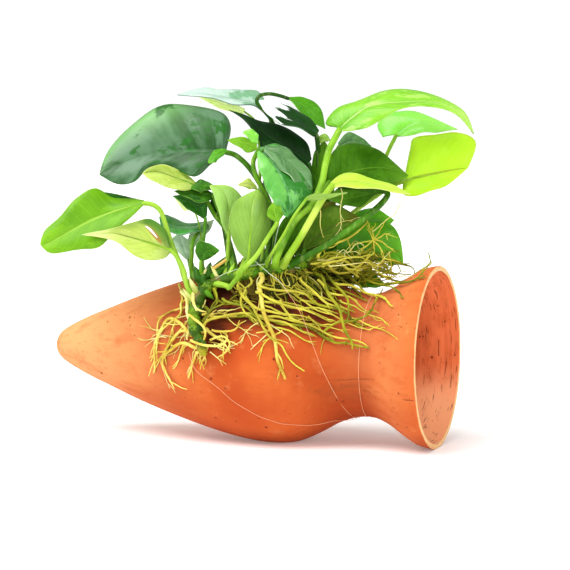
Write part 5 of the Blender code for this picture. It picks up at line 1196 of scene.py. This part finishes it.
drawnRoots = {  # look, radius, then lines along the clay; a fourth 1 marks a place in the air
    "rootsMiddleYellow": ("yellowRoot", 0.6, (
        ((-11.9, 68.2, 4.5), (0.2, 66, 5.5), (8.8, 64.2, 4.5), (12.3, 62.9, 3)),
        ((-12.8, 65.6, 4), (-6.6, 62.5, 5), (5.7, 58.1, 4.5), (21.1, 52.8, 1)),
        ((-10.1, 61.6, 3), (0, 59.4, 4), (11, 58.5, 3), (22.7, 56.5, 1.5)),
        ((-14.5, 56.3, 1.5), (-6.6, 54.6, 2.5), (5.7, 52.8, 2), (18.5, 49.7, 0.8)),
        ((-12.8, 55, 1), (-4.4, 53.2, 1.8), (4.4, 49.7, 1.2), (12.3, 46.4, 0.6)),
        ((-2.2, 62, 5), (3.1, 54.1, 3), (19.8, 47.1, 1.5), (36.7, 41.8, 0.6)),
        ((21.6, 69.5, 4), (28.9, 67.8, 4), (38.3, 64.7, 3), (47.5, 59.6, 1)),
        ((6.6, 71.7, 5), (11.9, 65.6, 6), (19.8, 60.7, 4), (28.2, 56.3, 1)),
        ((14.5, 70.8, 5), (19.8, 65.6, 5.5), (29.5, 62, 3), (37.4, 56.8, 1)),
        ((-17.2, 66.4, 4), (-19.8, 62, 5), (-17.2, 56.8, 3), (-10.1, 52.4, 1)))),
    "rootsMiddlePale": ("yellowRoot", 0.36, (
        ((-10.1, 59.8, 3), (1.3, 55.9, 4), (14.5, 52.4, 2), (26, 47.1, 0.5)),
        ((-6.6, 50.6, 1), (1.3, 48, 1.6), (8.4, 45.3, 1), (12.8, 42.2, 0.4)),
        ((10.1, 55, 3), (14.5, 50.6, 2.5), (16.3, 47.1, 1), (17.2, 44.4, 0.4)),
        ((-1.3, 48.8, 1), (-5.7, 46.2, 1.6), (-9.2, 42.2, 1.2), (-11, 39.2, 0.4)),
        ((24.2, 62, 4), (31.2, 58.1, 3), (40, 55, 1.5), (45.3, 50.6, 0.5)),
        ((6.6, 62, 5), (17.2, 56.8, 4), (26.8, 52.4, 1.5), (38.3, 48.4, 0.5)),
        ((29.5, 54.1, 2), (35.6, 51.5, 1.4), (43.6, 48.8, 0.8), (49.7, 44, 0.4)))),
    "rootsMiddleOlive": ("oliveRoot", 0.6, (
        ((16.3, 47.5, 0.7), (23.8, 51.9, 1.6), (29.5, 53.2, 2), (35.6, 55, 2.4), (39.2, 59.6, 3),
            (42.9, 67.3, 3)),
        ((19.8, 71.7, 5), (26, 63.8, 5), (28.6, 56.8, 3), (25.5, 50.6, 1)),
        ((11, 62, 4), (19.8, 58.5, 3), (28.6, 55, 1.5), (34.8, 48.8, 0.6)),
        ((42.7, 69.1, 3), (49.7, 69.1, 2), (56.8, 71.3, 1.5), (61.2, 73, 0.8)),
        ((24.2, 72.6, 4), (35.6, 70.8, 4), (47.1, 67.3, 2), (52.4, 62.9, 0.8)))),
    "rootsUpperRight": ("oliveRoot", 0.5, (
        ((4.8, 77, -14, 1), (11.9, 80.1, -16, 1), (22, 81, -16, 1), (30.4, 81.8, -15, 1),
            (35.9, 83.2, -14, 1), (39.2, 87.1, -14, 1)),
        ((23.3, 78.8, -12, 1), (33, 77, -12, 1), (43.6, 76.1, -10, 1), (48.8, 72.6, -8, 1)),
        ((19.8, 82.3, -10, 1), (29.5, 78.8, -12, 1), (38.3, 74.4, -12, 1), (47.1, 74.4, -9, 1),
            (55.9, 72.6, -8, 1)),
        ((26, 81.4, -10, 1), (33.9, 80.5, -13, 1), (41.8, 78.8, -13, 1), (46.2, 71.7, -10, 1)),
        ((29.5, 75.2, -10, 1), (41.8, 72.6, -10, 1), (52.4, 70.8, -9, 1), (62.9, 77, -4, 1),
            (64.2, 81.8, -2, 1)),
        ((28.6, 84, -8, 1), (40, 80.5, -11, 1), (50.6, 78.8, -9, 1), (54.6, 76.6, -8, 1),
            (57.2, 73.9, -8, 1)))),
    "rootsStar": ("yellowRoot", 0.32, (
        ((38.9, 88.4, -14, 1), (37.8, 91.1, -15, 1), (35.9, 93.3, -15, 1)),
        ((38.9, 88.4, -14, 1), (38.7, 91.5, -15, 1), (38.3, 94.2, -14, 1)),
        ((38.9, 88.4, -14, 1), (40.9, 91.1, -16, 1), (42.2, 94.2, -17, 1)),
        ((38.9, 88.4, -14, 1), (42, 88, -17, 1), (45.4, 85.6, -16, 1), (48.2, 84.4, -15, 1)),
        ((38.9, 88.4, -14, 1), (39.2, 84.5, -16, 1), (38.7, 81, -15, 1)),
        ((38.9, 88.4, -14, 1), (36.5, 85.8, -16, 1), (33.9, 84, -15, 1)),
        ((38.9, 88.4, -14, 1), (34.3, 87.6, -15, 1), (29.5, 85.6, -14, 1)),
        ((38.9, 88.4, -14, 1), (41.8, 89.3, -16, 1), (44.4, 91.1, -15, 1), (45.3, 88.4, -15, 1)),
        ((38.9, 88.4, -14, 1), (41.8, 84.5, -17, 1), (43.6, 80.5, -16, 1)),
        ((46, 83.2, -13, 1), (46.4, 77.4, -12, 1), (46.6, 71.3, -10, 1)),
        ((27.3, 88.9, -12, 1), (29, 84.9, -13, 1), (29.5, 82.7, -13, 1), (28.2, 78.5, -13, 1),
            (26.4, 75.5, -12, 1)),
        ((29.5, 82.7, -13, 1), (32.1, 78.8, -14, 1), (31.7, 75.2, -13, 1)))),
    "rootsThinUpper": ("paleRoot", 0.24, (
        ((22, 92.4, -13, 1), (23.5, 95.5, -14, 1), (29, 96.8, -14, 1), (33.9, 95.5, -13, 1)),
        ((24.6, 111.3, -19, 1), (24.9, 103.8, -19, 1), (24.2, 95.5, -18, 1), (21.6, 88.4, -16, 1)),
        ((15.4, 101.6, -24, 1), (15.8, 96.4, -23, 1), (16.5, 89.3, -22, 1)),
        ((38.3, 92, -12, 1), (45.3, 96.8, -12, 1), (47.5, 99.4, -12, 1), (49.9, 103.6, -11, 1),
            (53.2, 106, -10, 1)),
        ((49.9, 72.6, 1.5), (52.8, 72.2, 1.3), (56.1, 72.6, 1)))),
    "rootsLeftYellow": ("warmRoot", 0.5, (
        ((-39.2, 68.2, 5), (-41.8, 63.8, 4), (-45.3, 59.4, 2.4), (-46.6, 54.1, 1.6), (-51.5, 44.4, 1),
            (-57.6, 29.5, 0.6)),
        ((-39.2, 62, 3), (-43.6, 58.5, 2.4), (-50.6, 57.6, 1.6), (-55, 52.4, 1), (-56.8, 42.7, 0.6),
            (-58.5, 34.8, 0.5)),
        ((-38.7, 54.1, 3), (-42.7, 52.4, 2), (-48, 47.1, 1.4), (-52.4, 39.2, 0.8), (-55, 35.6, 0.5)),
        ((-37.4, 48, 3), (-41.4, 44.4, 2), (-46.2, 37, 1), (-49.4, 32.3, 0.5)),
        ((-34.8, 52.4, 3), (-33.9, 55, 3.5), (-29.5, 55.9, 2.5), (-25.1, 55.4, 1)),
        ((-33, 44.4, 3), (-27.7, 45.8, 3), (-24.6, 43.1, 2.2), (-26, 39.2, 1.6), (-29.5, 37, 1)),
        ((-33.9, 42.2, 2.5), (-34.8, 38.7, 2.5), (-35.6, 35.2, 1.4)),
        ((-32.1, 48.8, 3), (-26, 48, 3), (-21.6, 48.8, 2), (-18.9, 52.4, 1)))),
    "rootsOverStem": ("warmRoot", 0.6, (
        ((-46.6, 69, 3), (-45.4, 61.6, 4), (-46.2, 55.9, 3), (-54, 48.8, 1), (-57.6, 38.7, 0.7)),
        ((-41.4, 44.4, 6.5), (-35.6, 42, 7), (-28.6, 41.6, 3), (-25.6, 45.8, 2), (-27.4, 48.4, 1.5)),
        ((-42.6, 57, 6), (-38.6, 53, 8.6), (-35.4, 47, 7), (-36.6, 40, 3), (-38.2, 34, 1)),
        ((-36.6, 55.6, 7), (-31.3, 54.8, 4), (-21.4, 55.4, 1.6), (-16.4, 54, 0.8)),
        ((-43, 49, 5.5), (-47, 47, 3), (-51.6, 41.6, 1), (-52.6, 34.8, 0.7)))),
    "rootsByCrown": ("oliveRoot", 0.62, (
        ((-31.4, 67, 5), (-30.2, 63.6, 5.6), (-29.8, 60, 4)),
        ((-36.4, 52.6, 6), (-34.4, 55, 6.4), (-31.4, 58.1, 6), (-26.8, 60.2, 3)),
        ((-27.6, 62.6, 5), (-19.2, 59.3, 4), (-10.9, 53.6, 2), (-6.4, 48.6, 0.9)))),
    "rootsAcross": ("yellowRoot", 0.62, (
        ((-35.4, 49, 6), (-33.8, 52.6, 7), (-25.3, 55.7, 3.4), (-17, 55.7, 2), (-6.4, 54.3, 2),
            (5.7, 49.1, 1.2)),)),
    "hairsByCrown": ("paleRoot", 0.24, (
        ((-29.8, 57, 4), (-23.8, 57.5, 3), (-18.5, 59.3, 2)),
        ((-26.8, 55.9, 3), (-23.8, 52, 2), (-17, 48.3, 1), (-14.7, 47.1, 0.5)),
        ((-11.7, 52, 2), (-17.7, 47.1, 1), (-19.6, 43, 0.4)),
        ((-7.9, 47.1, 1), (-11.4, 43.4, 0.7), (-15.4, 40, 0.4)),
        ((-6.4, 51.3, 2), (-0.3, 47.5, 1), (2.3, 44.5, 0.4)))),
    "sheathsOverStem": ("paleRoot", 0.95, (
        ((-45.5, 65.7, 4), (-42.8, 60, 5.6), (-42.2, 51.5, 5.6), (-42.6, 45, 4)),
        ((-41.6, 66.6, 5), (-40, 62.6, 8.4), (-39.4, 57.6, 8.6)))),
    "rootsLeftPale": ("paleRoot", 0.25, (
        ((-55, 48.8, 0.8), (-58.5, 48.8, 0.8), (-61.7, 55, 0.7)),
        ((-52.4, 45.3, 0.8), (-57.2, 45.3, 0.8), (-64.2, 44.4, 0.6)),
        ((-37.4, 46.2, 3), (-41.8, 46.2, 2), (-49.7, 46.2, 1), (-58.5, 46.2, 0.6)),
        ((-41.8, 50.6, 3), (-45.3, 45.3, 1.6), (-48, 39.2, 0.8), (-52.4, 37.4, 0.5)),
        ((-36.5, 44.4, 3), (-40, 39.2, 1.5), (-41.8, 33, 0.8), (-42.2, 27.9, 0.4)),
        ((-49.7, 42.7, 0.8), (-53.2, 37.4, 0.6), (-55, 33.9, 0.5), (-50.2, 23.5, 0.4)),
        ((-42.7, 55.9, 2.5), (-48, 53.2, 1.6), (-53.2, 50.6, 0.8), (-56.8, 44.4, 0.5)),
        ((-31.2, 42.7, 2.5), (-27.7, 40, 2), (-24.2, 41.8, 1), (-18.5, 44.4, 0.5)),
        ((-33, 39.2, 2.5), (-28.6, 35.6, 1.2), (-26, 33.9, 0.6)),
        ((-34.8, 62, 5), (-38.3, 56.8, 4), (-43.6, 48.8, 2), (-44.4, 40.9, 0.8)))),
}


rootHabit = {"points": 15, "shake": 0.14, "twigsFrom": 0.45, "twigsTo": 0.97, "shortest": 2.0, "longest": 6.5,
             "twigSize": 0.55}
fineRoots = {  # look, count, seed, stretch of the rhizome, degrees round, lifts, radii, millimetres along
    "rootsUnder": ("shadeRoot", 60, 3, (6.4, 11.9), (1, 11), (0.3, 2.2), (0.4, 0.8), (-2, 14)),
    "rootsOlive": ("oliveRoot", 9, 5, (7, 11.9), (2, 20), (1.0, 5.0), (0.35, 0.6), (6, 30)),
    "rootsYellow": ("yellowRoot", 4, 7, (7, 11.9), (2, 20), (2.0, 6.0), (0.4, 0.6), (6, 30)),
    "rootsPale": ("paleRoot", 4, 9, (5.5, 11.9), (6, 28), (1.0, 6.0), (0.18, 0.32), (-2, 30)),
    "rootsTangle": ("yellowRoot", 16, 31, (6.8, 11.9), (2, 14), (2.0, 6.5), (0.26, 0.42), (-6, 16)),
    "rootsTangleDark": ("shadeRoot", 22, 32, (6.8, 11.9), (4, 22), (0.4, 1.6), (0.3, 0.5), (0, 30)),
    "rootsBehind": ("oliveRoot", 60, 13, (3.6, 11.9), (-70, -15), (1.0, 6.0), (0.3, 0.55), (-14, 24)),
    "rootsBehindYellow": ("yellowRoot", 40, 15, (3.6, 11.9), (-75, -15), (1.0, 7.0), (0.3, 0.55), (-14, 30)),
}
rootBrushes = {  # bundles in the air: look, count, seed, radii, where they start and where they end
    "brushOlive": ("oliveRoot", 30, 21, (0.28, 0.55),
                   ((9, 74, -20), (20, 79, -10)), ((28, 70, -16), (52, 84, -8))),
    "brushDark": ("shadeRoot", 18, 22, (0.4, 0.8),
                  ((8, 73, -12), (20, 78, -6)), ((22, 70, -10), (38, 77, -5))),
    "brushPale": ("paleRoot", 4, 23, (0.18, 0.3),
                  ((14, 75, -24), (22, 80, -16)), ((32, 72, -20), (48, 88, -14))),
    "brushYellow": ("yellowRoot", 8, 24, (0.4, 0.6),
                    ((10, 74, -24), (22, 79, -14)), ((30, 68, -20), (46, 82, -12))),
}


def taper(count, radius, end=0.45):
    return [radius * (1 - (1 - end) * (i / (count - 1)) ** 1.5) for i in range(count)]


def shaken(dice, reach):
    return Vector([dice.uniform(-reach, reach) for axis in range(3)])


def wander(points, count, radius, shake, dice, end=0.45):  # a smooth line that sways and trembles
    line = smoothLine(points, count)
    length = (line[-1] - line[0]).length
    swing, first, second = min(0.55, length * 0.03), dice.uniform(0, 6.3), dice.uniform(0, 6.3)
    beat = length / count / 2.6
    moved = []
    for i, point in enumerate(line):
        ease = min(1.0, i / 3)
        drift = viewRight * math.sin(first + i * beat * 1.3) + viewUp * math.sin(second + i * beat)
        moved.append(point + (drift * swing + shaken(dice, shake)) * ease)
    return moved, taper(count, radius, end)


def keepOff(point, lift):  # pushes a point out of the clay
    start, end = clay["rootsKeptOff"]
    gap = clearance(point) if start < point.x < end else lift
    if gap >= lift:
        return point
    away = Vector((0, point.y, point.z - clay["axisHeight"]))
    return point + away.normalized() * (lift - gap)


mainRoots = {  # look, twigs, radius, place on the rhizome, then the root's own places
    "root_long": ("warmRoot", 5, 1.1, 8.1, ((-10.8, 68, 3.4), (-10.6, 60, 3.8), (-7, 52, 3.7),
        (-4.5, 42, 1.5), (-2, 33, 1.4), (-0.3, 27.5, 1.4))),
    "root_long_branch": ("yellowRoot", 3, 0.6, 7.3, ((-17.5, 66, 2.2), (-13.5, 56, 6.2), (-6.8, 47, 6),
        (-2.5, 42, 4.4), (3, 35.5, 1.2), (8, 31, 1.2))),
    "root_slant": ("yellowRoot", 3, 0.75, 6.7, ((-20.4, 68, 2.4), (-17, 62.4, 7), (-12, 58, 9),
        (-5.5, 56.4, 6.4), (3.5, 55, 1.2), (12, 53, 1.2))),
    "root_low_sweep": ("oliveRoot", 6, 0.8, 3.3, ((-33, 53.6, 1.8), (-27, 55, 1.4), (-16, 55.2, 1.3),
        (-7.5, 53.6, 1.3), (1, 51.5, 1.3), (12, 48.9, 1.3), (22, 43.8, 1.3), (27, 42.6, 1.3),
        (36.5, 41.6, 1.3))),
    "root_olive_left": ("oliveRoot", 3, 0.6, 4.8, ((-28, 61.5, 1.2), (-24, 61.8, 1.2), (-19.4, 60.4, 1.2),
        (-16, 58.4, 1.2))),
    "root_mid_upper": ("yellowRoot", 3, 0.6, 9.5, ((-1, 67, 1.3), (5, 63.2, 1.2), (12, 61.4, 1.2),
        (20, 58.6, 1.2))),
    "root_mid_lower": ("yellowRoot", 3, 0.6, 8.9, ((-5.5, 68, 1.4), (-5, 62.6, 1.2), (0, 60.2, 1.2),
        (8, 58.8, 1.2), (14, 56.6, 1.2), (20.6, 52.6, 1.2))),
    "root_upper_run": ("yellowRoot", 3, 0.55, 10, ((2, 69.6, 1.2), (6, 66.2, 1.2), (12, 64.4, 1.2),
        (20, 62, 1.2), (27, 58.4, 1.2), (30.4, 56, 1.2))),
    "root_right_fall": ("oliveRoot", 3, 0.85, 11.2, ((14, 73, 4.4), (17, 70.4, 5.6), (20.5, 63.6, 6.2),
        (24, 56.5, 6), (27, 48.6, 5), (29, 43.4, 4.2), (30.4, 40, 2.8))),
    "root_right_run": ("oliveRoot", 3, 0.7, 10.6, ((9, 72, 1.3), (16, 68.2, 1.3), (27, 65.6, 1.3),
        (36.4, 61.8, 1.3))),
    "root_right_end": ("yellowRoot", 3, 0.65, 11.8, ((18, 75, 1.4), (24, 73, 1.3), (31, 69.6, 1.3),
        (38, 64.4, 1.3), (43.5, 62.6, 1.2), (47.6, 59.8, 1.2))),
    "root_yellow_stub": ("yellowRoot", 2, 0.8, 11.4, ((14, 82, -24, 1), (20, 85.6, -17, 1),
        (27, 89.4, -14, 1), (36.5, 96.2, -11, 1))),
    "root_upper_right": ("oliveRoot", 3, 0.8, 12, ((21, 78.6, -16, 1), (26, 80, -14, 1), (32, 81.4, -13, 1),
        (38, 84, -14, 1), (40.4, 88.5, -14, 1))),
    "root_left_bundle": ("warmRoot", 7, 0.8, 1.85, ((-45.5, 52, 2.2), (-52, 53, 1.4), (-56, 46, 1.3),
        (-57.2, 38, 1.3), (-58, 30, 1.3))),
    "root_left_strand": ("warmRoot", 6, 0.8, 1, ((-44, 42.6, 2.2), (-49.5, 40.6, 1.4), (-54, 37, 1.3),
        (-52, 30.5, 1.3), (-50, 24.5, 1.2))),
    "root_left_loop": ("warmRoot", 5, 0.9, 1.6, ((-34.4, 49, 3), (-29.6, 45.6, 1.6), (-26.4, 43.6, 1.5),
        (-31, 41.6, 1.5))),
    "root_left_drop": ("warmRoot", 2, 0.7, 0.5, ((-39.5, 38, 2.2), (-41, 33.4, 1.4), (-42, 28.2, 1.3))),
}
mainHabit = {"shake": 0.07, "twigsFrom": 0.3, "twigsTo": 0.95, "shortest": 4.0, "longest": 9.0,
             "twigSize": 0.38}


def makeMainRoots(materials):
    for name, (look, twigs, radius, place, points) in mainRoots.items():
        dice = random.Random(name)
        way = [placed(point) for point in points]
        way = leaveRhizome(place, way[0], radius) + way
        last = len(way) - 1
        lines = [wander(way, 6 * len(way), radius, mainHabit["shake"], dice)]
        for twig in range(twigs):
            start = dice.uniform(mainHabit["twigsFrom"], mainHabit["twigsTo"]) * last
            base = Vector(curvePoint(way, start))
            onward = Vector(curvePoint(way, min(start + 0.4, last))) - base
            if onward.length < 0.01:
                continue
            onward.normalize()
            spread = shaken(dice, 1)
            reach = dice.uniform(mainHabit["shortest"], mainHabit["longest"])
            tip = base + (onward * 0.8 + spread * 0.7).normalized() * reach
            middle = base.lerp(tip, 0.5) + shaken(dice, 0.8)
            twigLine = [keepOff(point, 0.5) for point in (base, middle, tip)]
            lines.append(wander(twigLine, 9, radius * mainHabit["twigSize"], 0.05, dice))
        settle(strands(name + "Fine", lines, materials[look], 2), "root", name)


def withTwigs(line, radius, dice, twigs):
    made = [(line, taper(len(line), radius))]
    for twig in range(twigs):
        at = int(dice.uniform(rootHabit["twigsFrom"], rootHabit["twigsTo"]) * (len(line) - 2)) + 1
        onward = (line[at] - line[at - 1]).normalized()
        aside = onward.cross(shaken(dice, 1)).normalized()
        reach = dice.uniform(rootHabit["shortest"], rootHabit["longest"])
        bend = line[at] + (onward + aside * 0.5) * reach * 0.5
        tip = bend + (onward + aside * dice.uniform(-0.2, 0.9)).normalized() * reach * 0.5
        way = [line[at], keepOff(bend, 0.4), keepOff(tip, 0.3)]
        made.append(wander(way, 8, radius * rootHabit["twigSize"], 0.06, dice, 0.5))
    return made


def fineRoot(way, radius, dice, twigs):
    thick = dice.uniform(*radius)
    clear = [keepOff(point, thick + 0.1) for point in way]
    line = wander(clear, rootHabit["points"], thick, rootHabit["shake"], dice)[0]
    return withTwigs(line, thick, dice, dice.choice(twigs))


def rootMass(name, look, count, seed, stretch, sweep, lifts, radius, drift):
    dice = random.Random(seed)
    lines = []
    for i in range(count):
        start = onRhizome(dice.uniform(*stretch))
        turned = clayAngle(start)
        reach = dice.uniform(*sweep)
        slide = dice.uniform(*drift)
        way = [start]
        for step in range(1, 6):
            share = step / 5
            lift = dice.uniform(*lifts) * (1 - share * 0.85) + 0.35
            axial = start.x + slide * share + dice.uniform(-3, 3)
            arch = 9 * math.sin(math.pi * share) * math.copysign(1, slide - 12)
            way.append(roundClay(axial, turned + reach * share - arch + dice.uniform(-4, 4), lift))
        lines += fineRoot(way, radius, dice, (0, 0, 1, 2))
    return strands(name, lines, look)


def rootBrush(name, look, count, seed, radius, starts, ends):
    dice = random.Random(seed)
    lines = []
    for i in range(count):
        start, end = [seen(*[dice.uniform(low, high) for low, high in zip(*box)]) for box in (starts, ends)]
        way = [start]
        for share in (0.25, 0.5, 0.75, 0.9):
            way.append(start.lerp(end, share) + shaken(dice, 3.2))
        lines += fineRoot([*way, end], radius, dice, (1, 2, 3))
    return strands(name, lines, look)


def makeFineRoots(materials):
    for makeOne, rows in ((rootMass, fineRoots), (rootBrush, rootBrushes)):
        for name, (look, *row) in rows.items():
            settle(makeOne(name, materials[look], *row), "root")
    for name, (look, radius, lines) in drawnRoots.items():
        dice = random.Random(name)
        made = []
        for line in lines:
            line = wander([placed(point) for point in line], 6 * len(line), radius, 0.08, dice)[0]
            made += withTwigs(line, radius, dice, dice.choice((1, 2, 3)))
        settle(strands(name, made, materials[look], 2), "root")


ties = {  # closed or not, then along the axis, degrees round from the top, and lift off the clay
    "tie_crown": (True, ((-20, 10, 8), (-5, 33, 11), (4, 42, 10.8), (12.5, 49, 10), (23, 69, 9),
        (29.8, 111, 0.3), (34.5, 168, 0.3), (30, 215, 0.3), (15, 265, 0.3), (0, 300, 0.3), (-15, 335, 0.3))),
    "tie_neck": (True, ((45.5, 0, 1.2), (45, 24, 3.4), (44, 46, 3.8), (43, 76, 1.6), (42, 114, 0.3),
        (41, 146, 0.3), (40, 180, 0.3), (40, 230, 0.3), (42, 290, 0.3), (45, 330, 0.3))),
    "tie_lower": (False, ((-30, 86, 2.8), (-26.5, 97, 2.9), (-18, 108, 0.3), (-9, 119, 0.3), (4.6, 132, 0.3),
        (12.3, 140, 0.3), (20.4, 151, 0.3), (30, 165, 0.3), (32, 190, 0.3), (28, 230, 0.3), (14, 270, 0.3),
        (2, 310, 0.3), (-4, 345, 0.3), (-5, 366, 1.4))),
}
# a loose end in the air among the stalks, and a short run over the rhizome
looseEnd = ((-2.6, 95.6, -27), (-3.6, 91, -29), (-4.6, 86, -30), (-5.7, 81, -30.5), (-6, 78, -31))
overStem = ((-30.4, 71.4, 7.6), (-26, 73.8, 8.4), (-17.3, 76.6, 8.5), (-9, 77.8, 8.5), (-3, 77.8, 8.5),
    (6.6, 76, 8))
lineShape = {"radius": 0.1, "closedSteps": 120, "openSteps": 130, "shortPoints": 30}


def makeTies(material):
    def lay(name, line, *nodes):
        piece = strands(name, [(line, [lineShape["radius"]] * len(line))], material, 2)
        settle(piece, "line", *nodes)

    for name, (closed, points) in ties.items():
        turns, start, span, count = points, 0, len(points) - 1, lineShape["openSteps"]
        if closed:  # the last point comes before the first too, a turn back, and the first two again
            axial, degrees, lift = points[-1]
            turns = [(axial, degrees - 360, lift), *points]
            turns += [(axial, degrees + 360, lift) for axial, degrees, lift in points[:2]]
            start, span, count = 1, len(points), lineShape["closedSteps"]
        line = [roundClay(*curvePoint(turns, start + span * i / count)) for i in range(count + 1)]
        lay(name + "Line", line, name)
    lay("lineEnd", smoothLine([seen(*point) for point in looseEnd], lineShape["shortPoints"]))
    lay("lineOverStem", smoothLine([onClay(*point) for point in overStem], lineShape["shortPoints"]))


# Making everything

print("finishes")
materials = {name: leafFinish(name, look) for name, look in leafLooks.items()}
materials.update({name: stalkFinish(name, look) for name, look in stalkLooks.items()})
materials.update({name: rootFinish(name, look) for name, look in rootLooks.items()})

print("amphora")
makeAmphora(clayFinish())

print("rhizome and leaves")
makeRhizome(rhizomeFinish())
makeBuds(materials)
for name, leaf in leaves.items():
    piece = makeLeaf(name, leaf, materials)
    settle(piece, leaf["slot"], *([name] if name.startswith("leaf_") else []))

print("roots")
makeMainRoots(materials)
makeFineRoots(materials)

print("tying lines")
makeTies(lineFinish())


# Floor, light and camera

stage = {
    "floorSize": 40.0,
    "floorDrop": 0.0002,  # below z = 0, clear of the clay's flats
    "floorTone": 0.96,
    "floorGlow": 0.17,
    "horizonGlow": 1.08,  # the room at eye level
    "ceilingGlow": 0.5,
    "glowFades": (0.12, 0.42),  # from and to, where 0 is level and 1 straight up
    "keyStrength": 3.45,
    "keyFrom": (-0.32, -0.5, 1.0),
    "keySoftness": 50.0,  # degrees
    "lightTarget": (0, 0, 0.07),
    "fillPower": 4.5,
    "fillPlace": (0.95, -0.75, 0.5),
    "fillSize": 0.7,
}


def addLight(name, kind, place, strength):
    light = bpy.data.lights.new(name, kind)
    light.energy = strength
    lamp = linked(name, light)
    lamp.location = place
    towards = Vector(stage["lightTarget"]) - Vector(place)
    lamp.rotation_euler = towards.to_track_quat("-Z", "Y").to_euler()
    return light


def makeFloor():
    deselectAll()
    bpy.ops.mesh.primitive_plane_add(size=stage["floorSize"], location=(0, 0, -stage["floorDrop"]))
    floor = bpy.context.object
    bpy.ops.object.transform_apply(location=True, rotation=True, scale=True)
    floor.name = "floor"
    paper = Finish("paleFloor", {
        "Roughness": 0.9, "Specular IOR Level": 0.1,
        "Emission Strength": stage["floorGlow"], "Emission Color": (1.0, 0.95, 0.9, 1.0)})
    tone = paper.noise(paper.objectPlace(), 3.0)
    whites = [(stage["floorTone"] + shift,) * 3 + (1.0,) for shift in (0.0, 0.01)]
    paper.feed("Base Color", paper.blend(tone, *whites))
    floor.data.materials.append(paper.material)


def makeRoom():  # bright at eye level, darker above
    world = bpy.data.worlds.new("paleRoom")
    room = Finish("paleRoom", {"Color": (1.0, 1.0, 1.0, 1.0)}, world)
    upwards = room.axes(room.node("TexCoord", {}, {}, "Generated"))[2]
    horizon, ceiling = stage["horizonGlow"], stage["ceilingGlow"]
    low, high = stage["glowFades"]
    room.feed("Strength", room.rise(upwards, high, low) * (horizon - ceiling) + ceiling)
    bpy.context.scene.world = world


def makeLights():
    key = addLight("keyLight", "SUN", stage["keyFrom"], stage["keyStrength"])
    key.angle = math.radians(stage["keySoftness"])
    fill = addLight("fillLight", "AREA", stage["fillPlace"], stage["fillPower"])
    fill.shape = "DISK"
    fill.size = stage["fillSize"]


def makeCamera():
    camera = bpy.data.cameras.new("frontView")
    camera.sensor_width = view["sensor"]
    camera.lens = view["sensor"] * view["distance"] / view["frameWidth"]
    camera.clip_start = 0.01
    holder = linked("frontView", camera)
    holder.location = viewEye * mm
    holder.rotation_euler = viewAhead.to_track_quat("-Z", "Y").to_euler()
    bpy.context.scene.camera = holder


print("floor, light and camera")
makeFloor()
makeRoom()
makeLights()
makeCamera()
bpy.context.scene.view_settings.view_transform = "Standard"
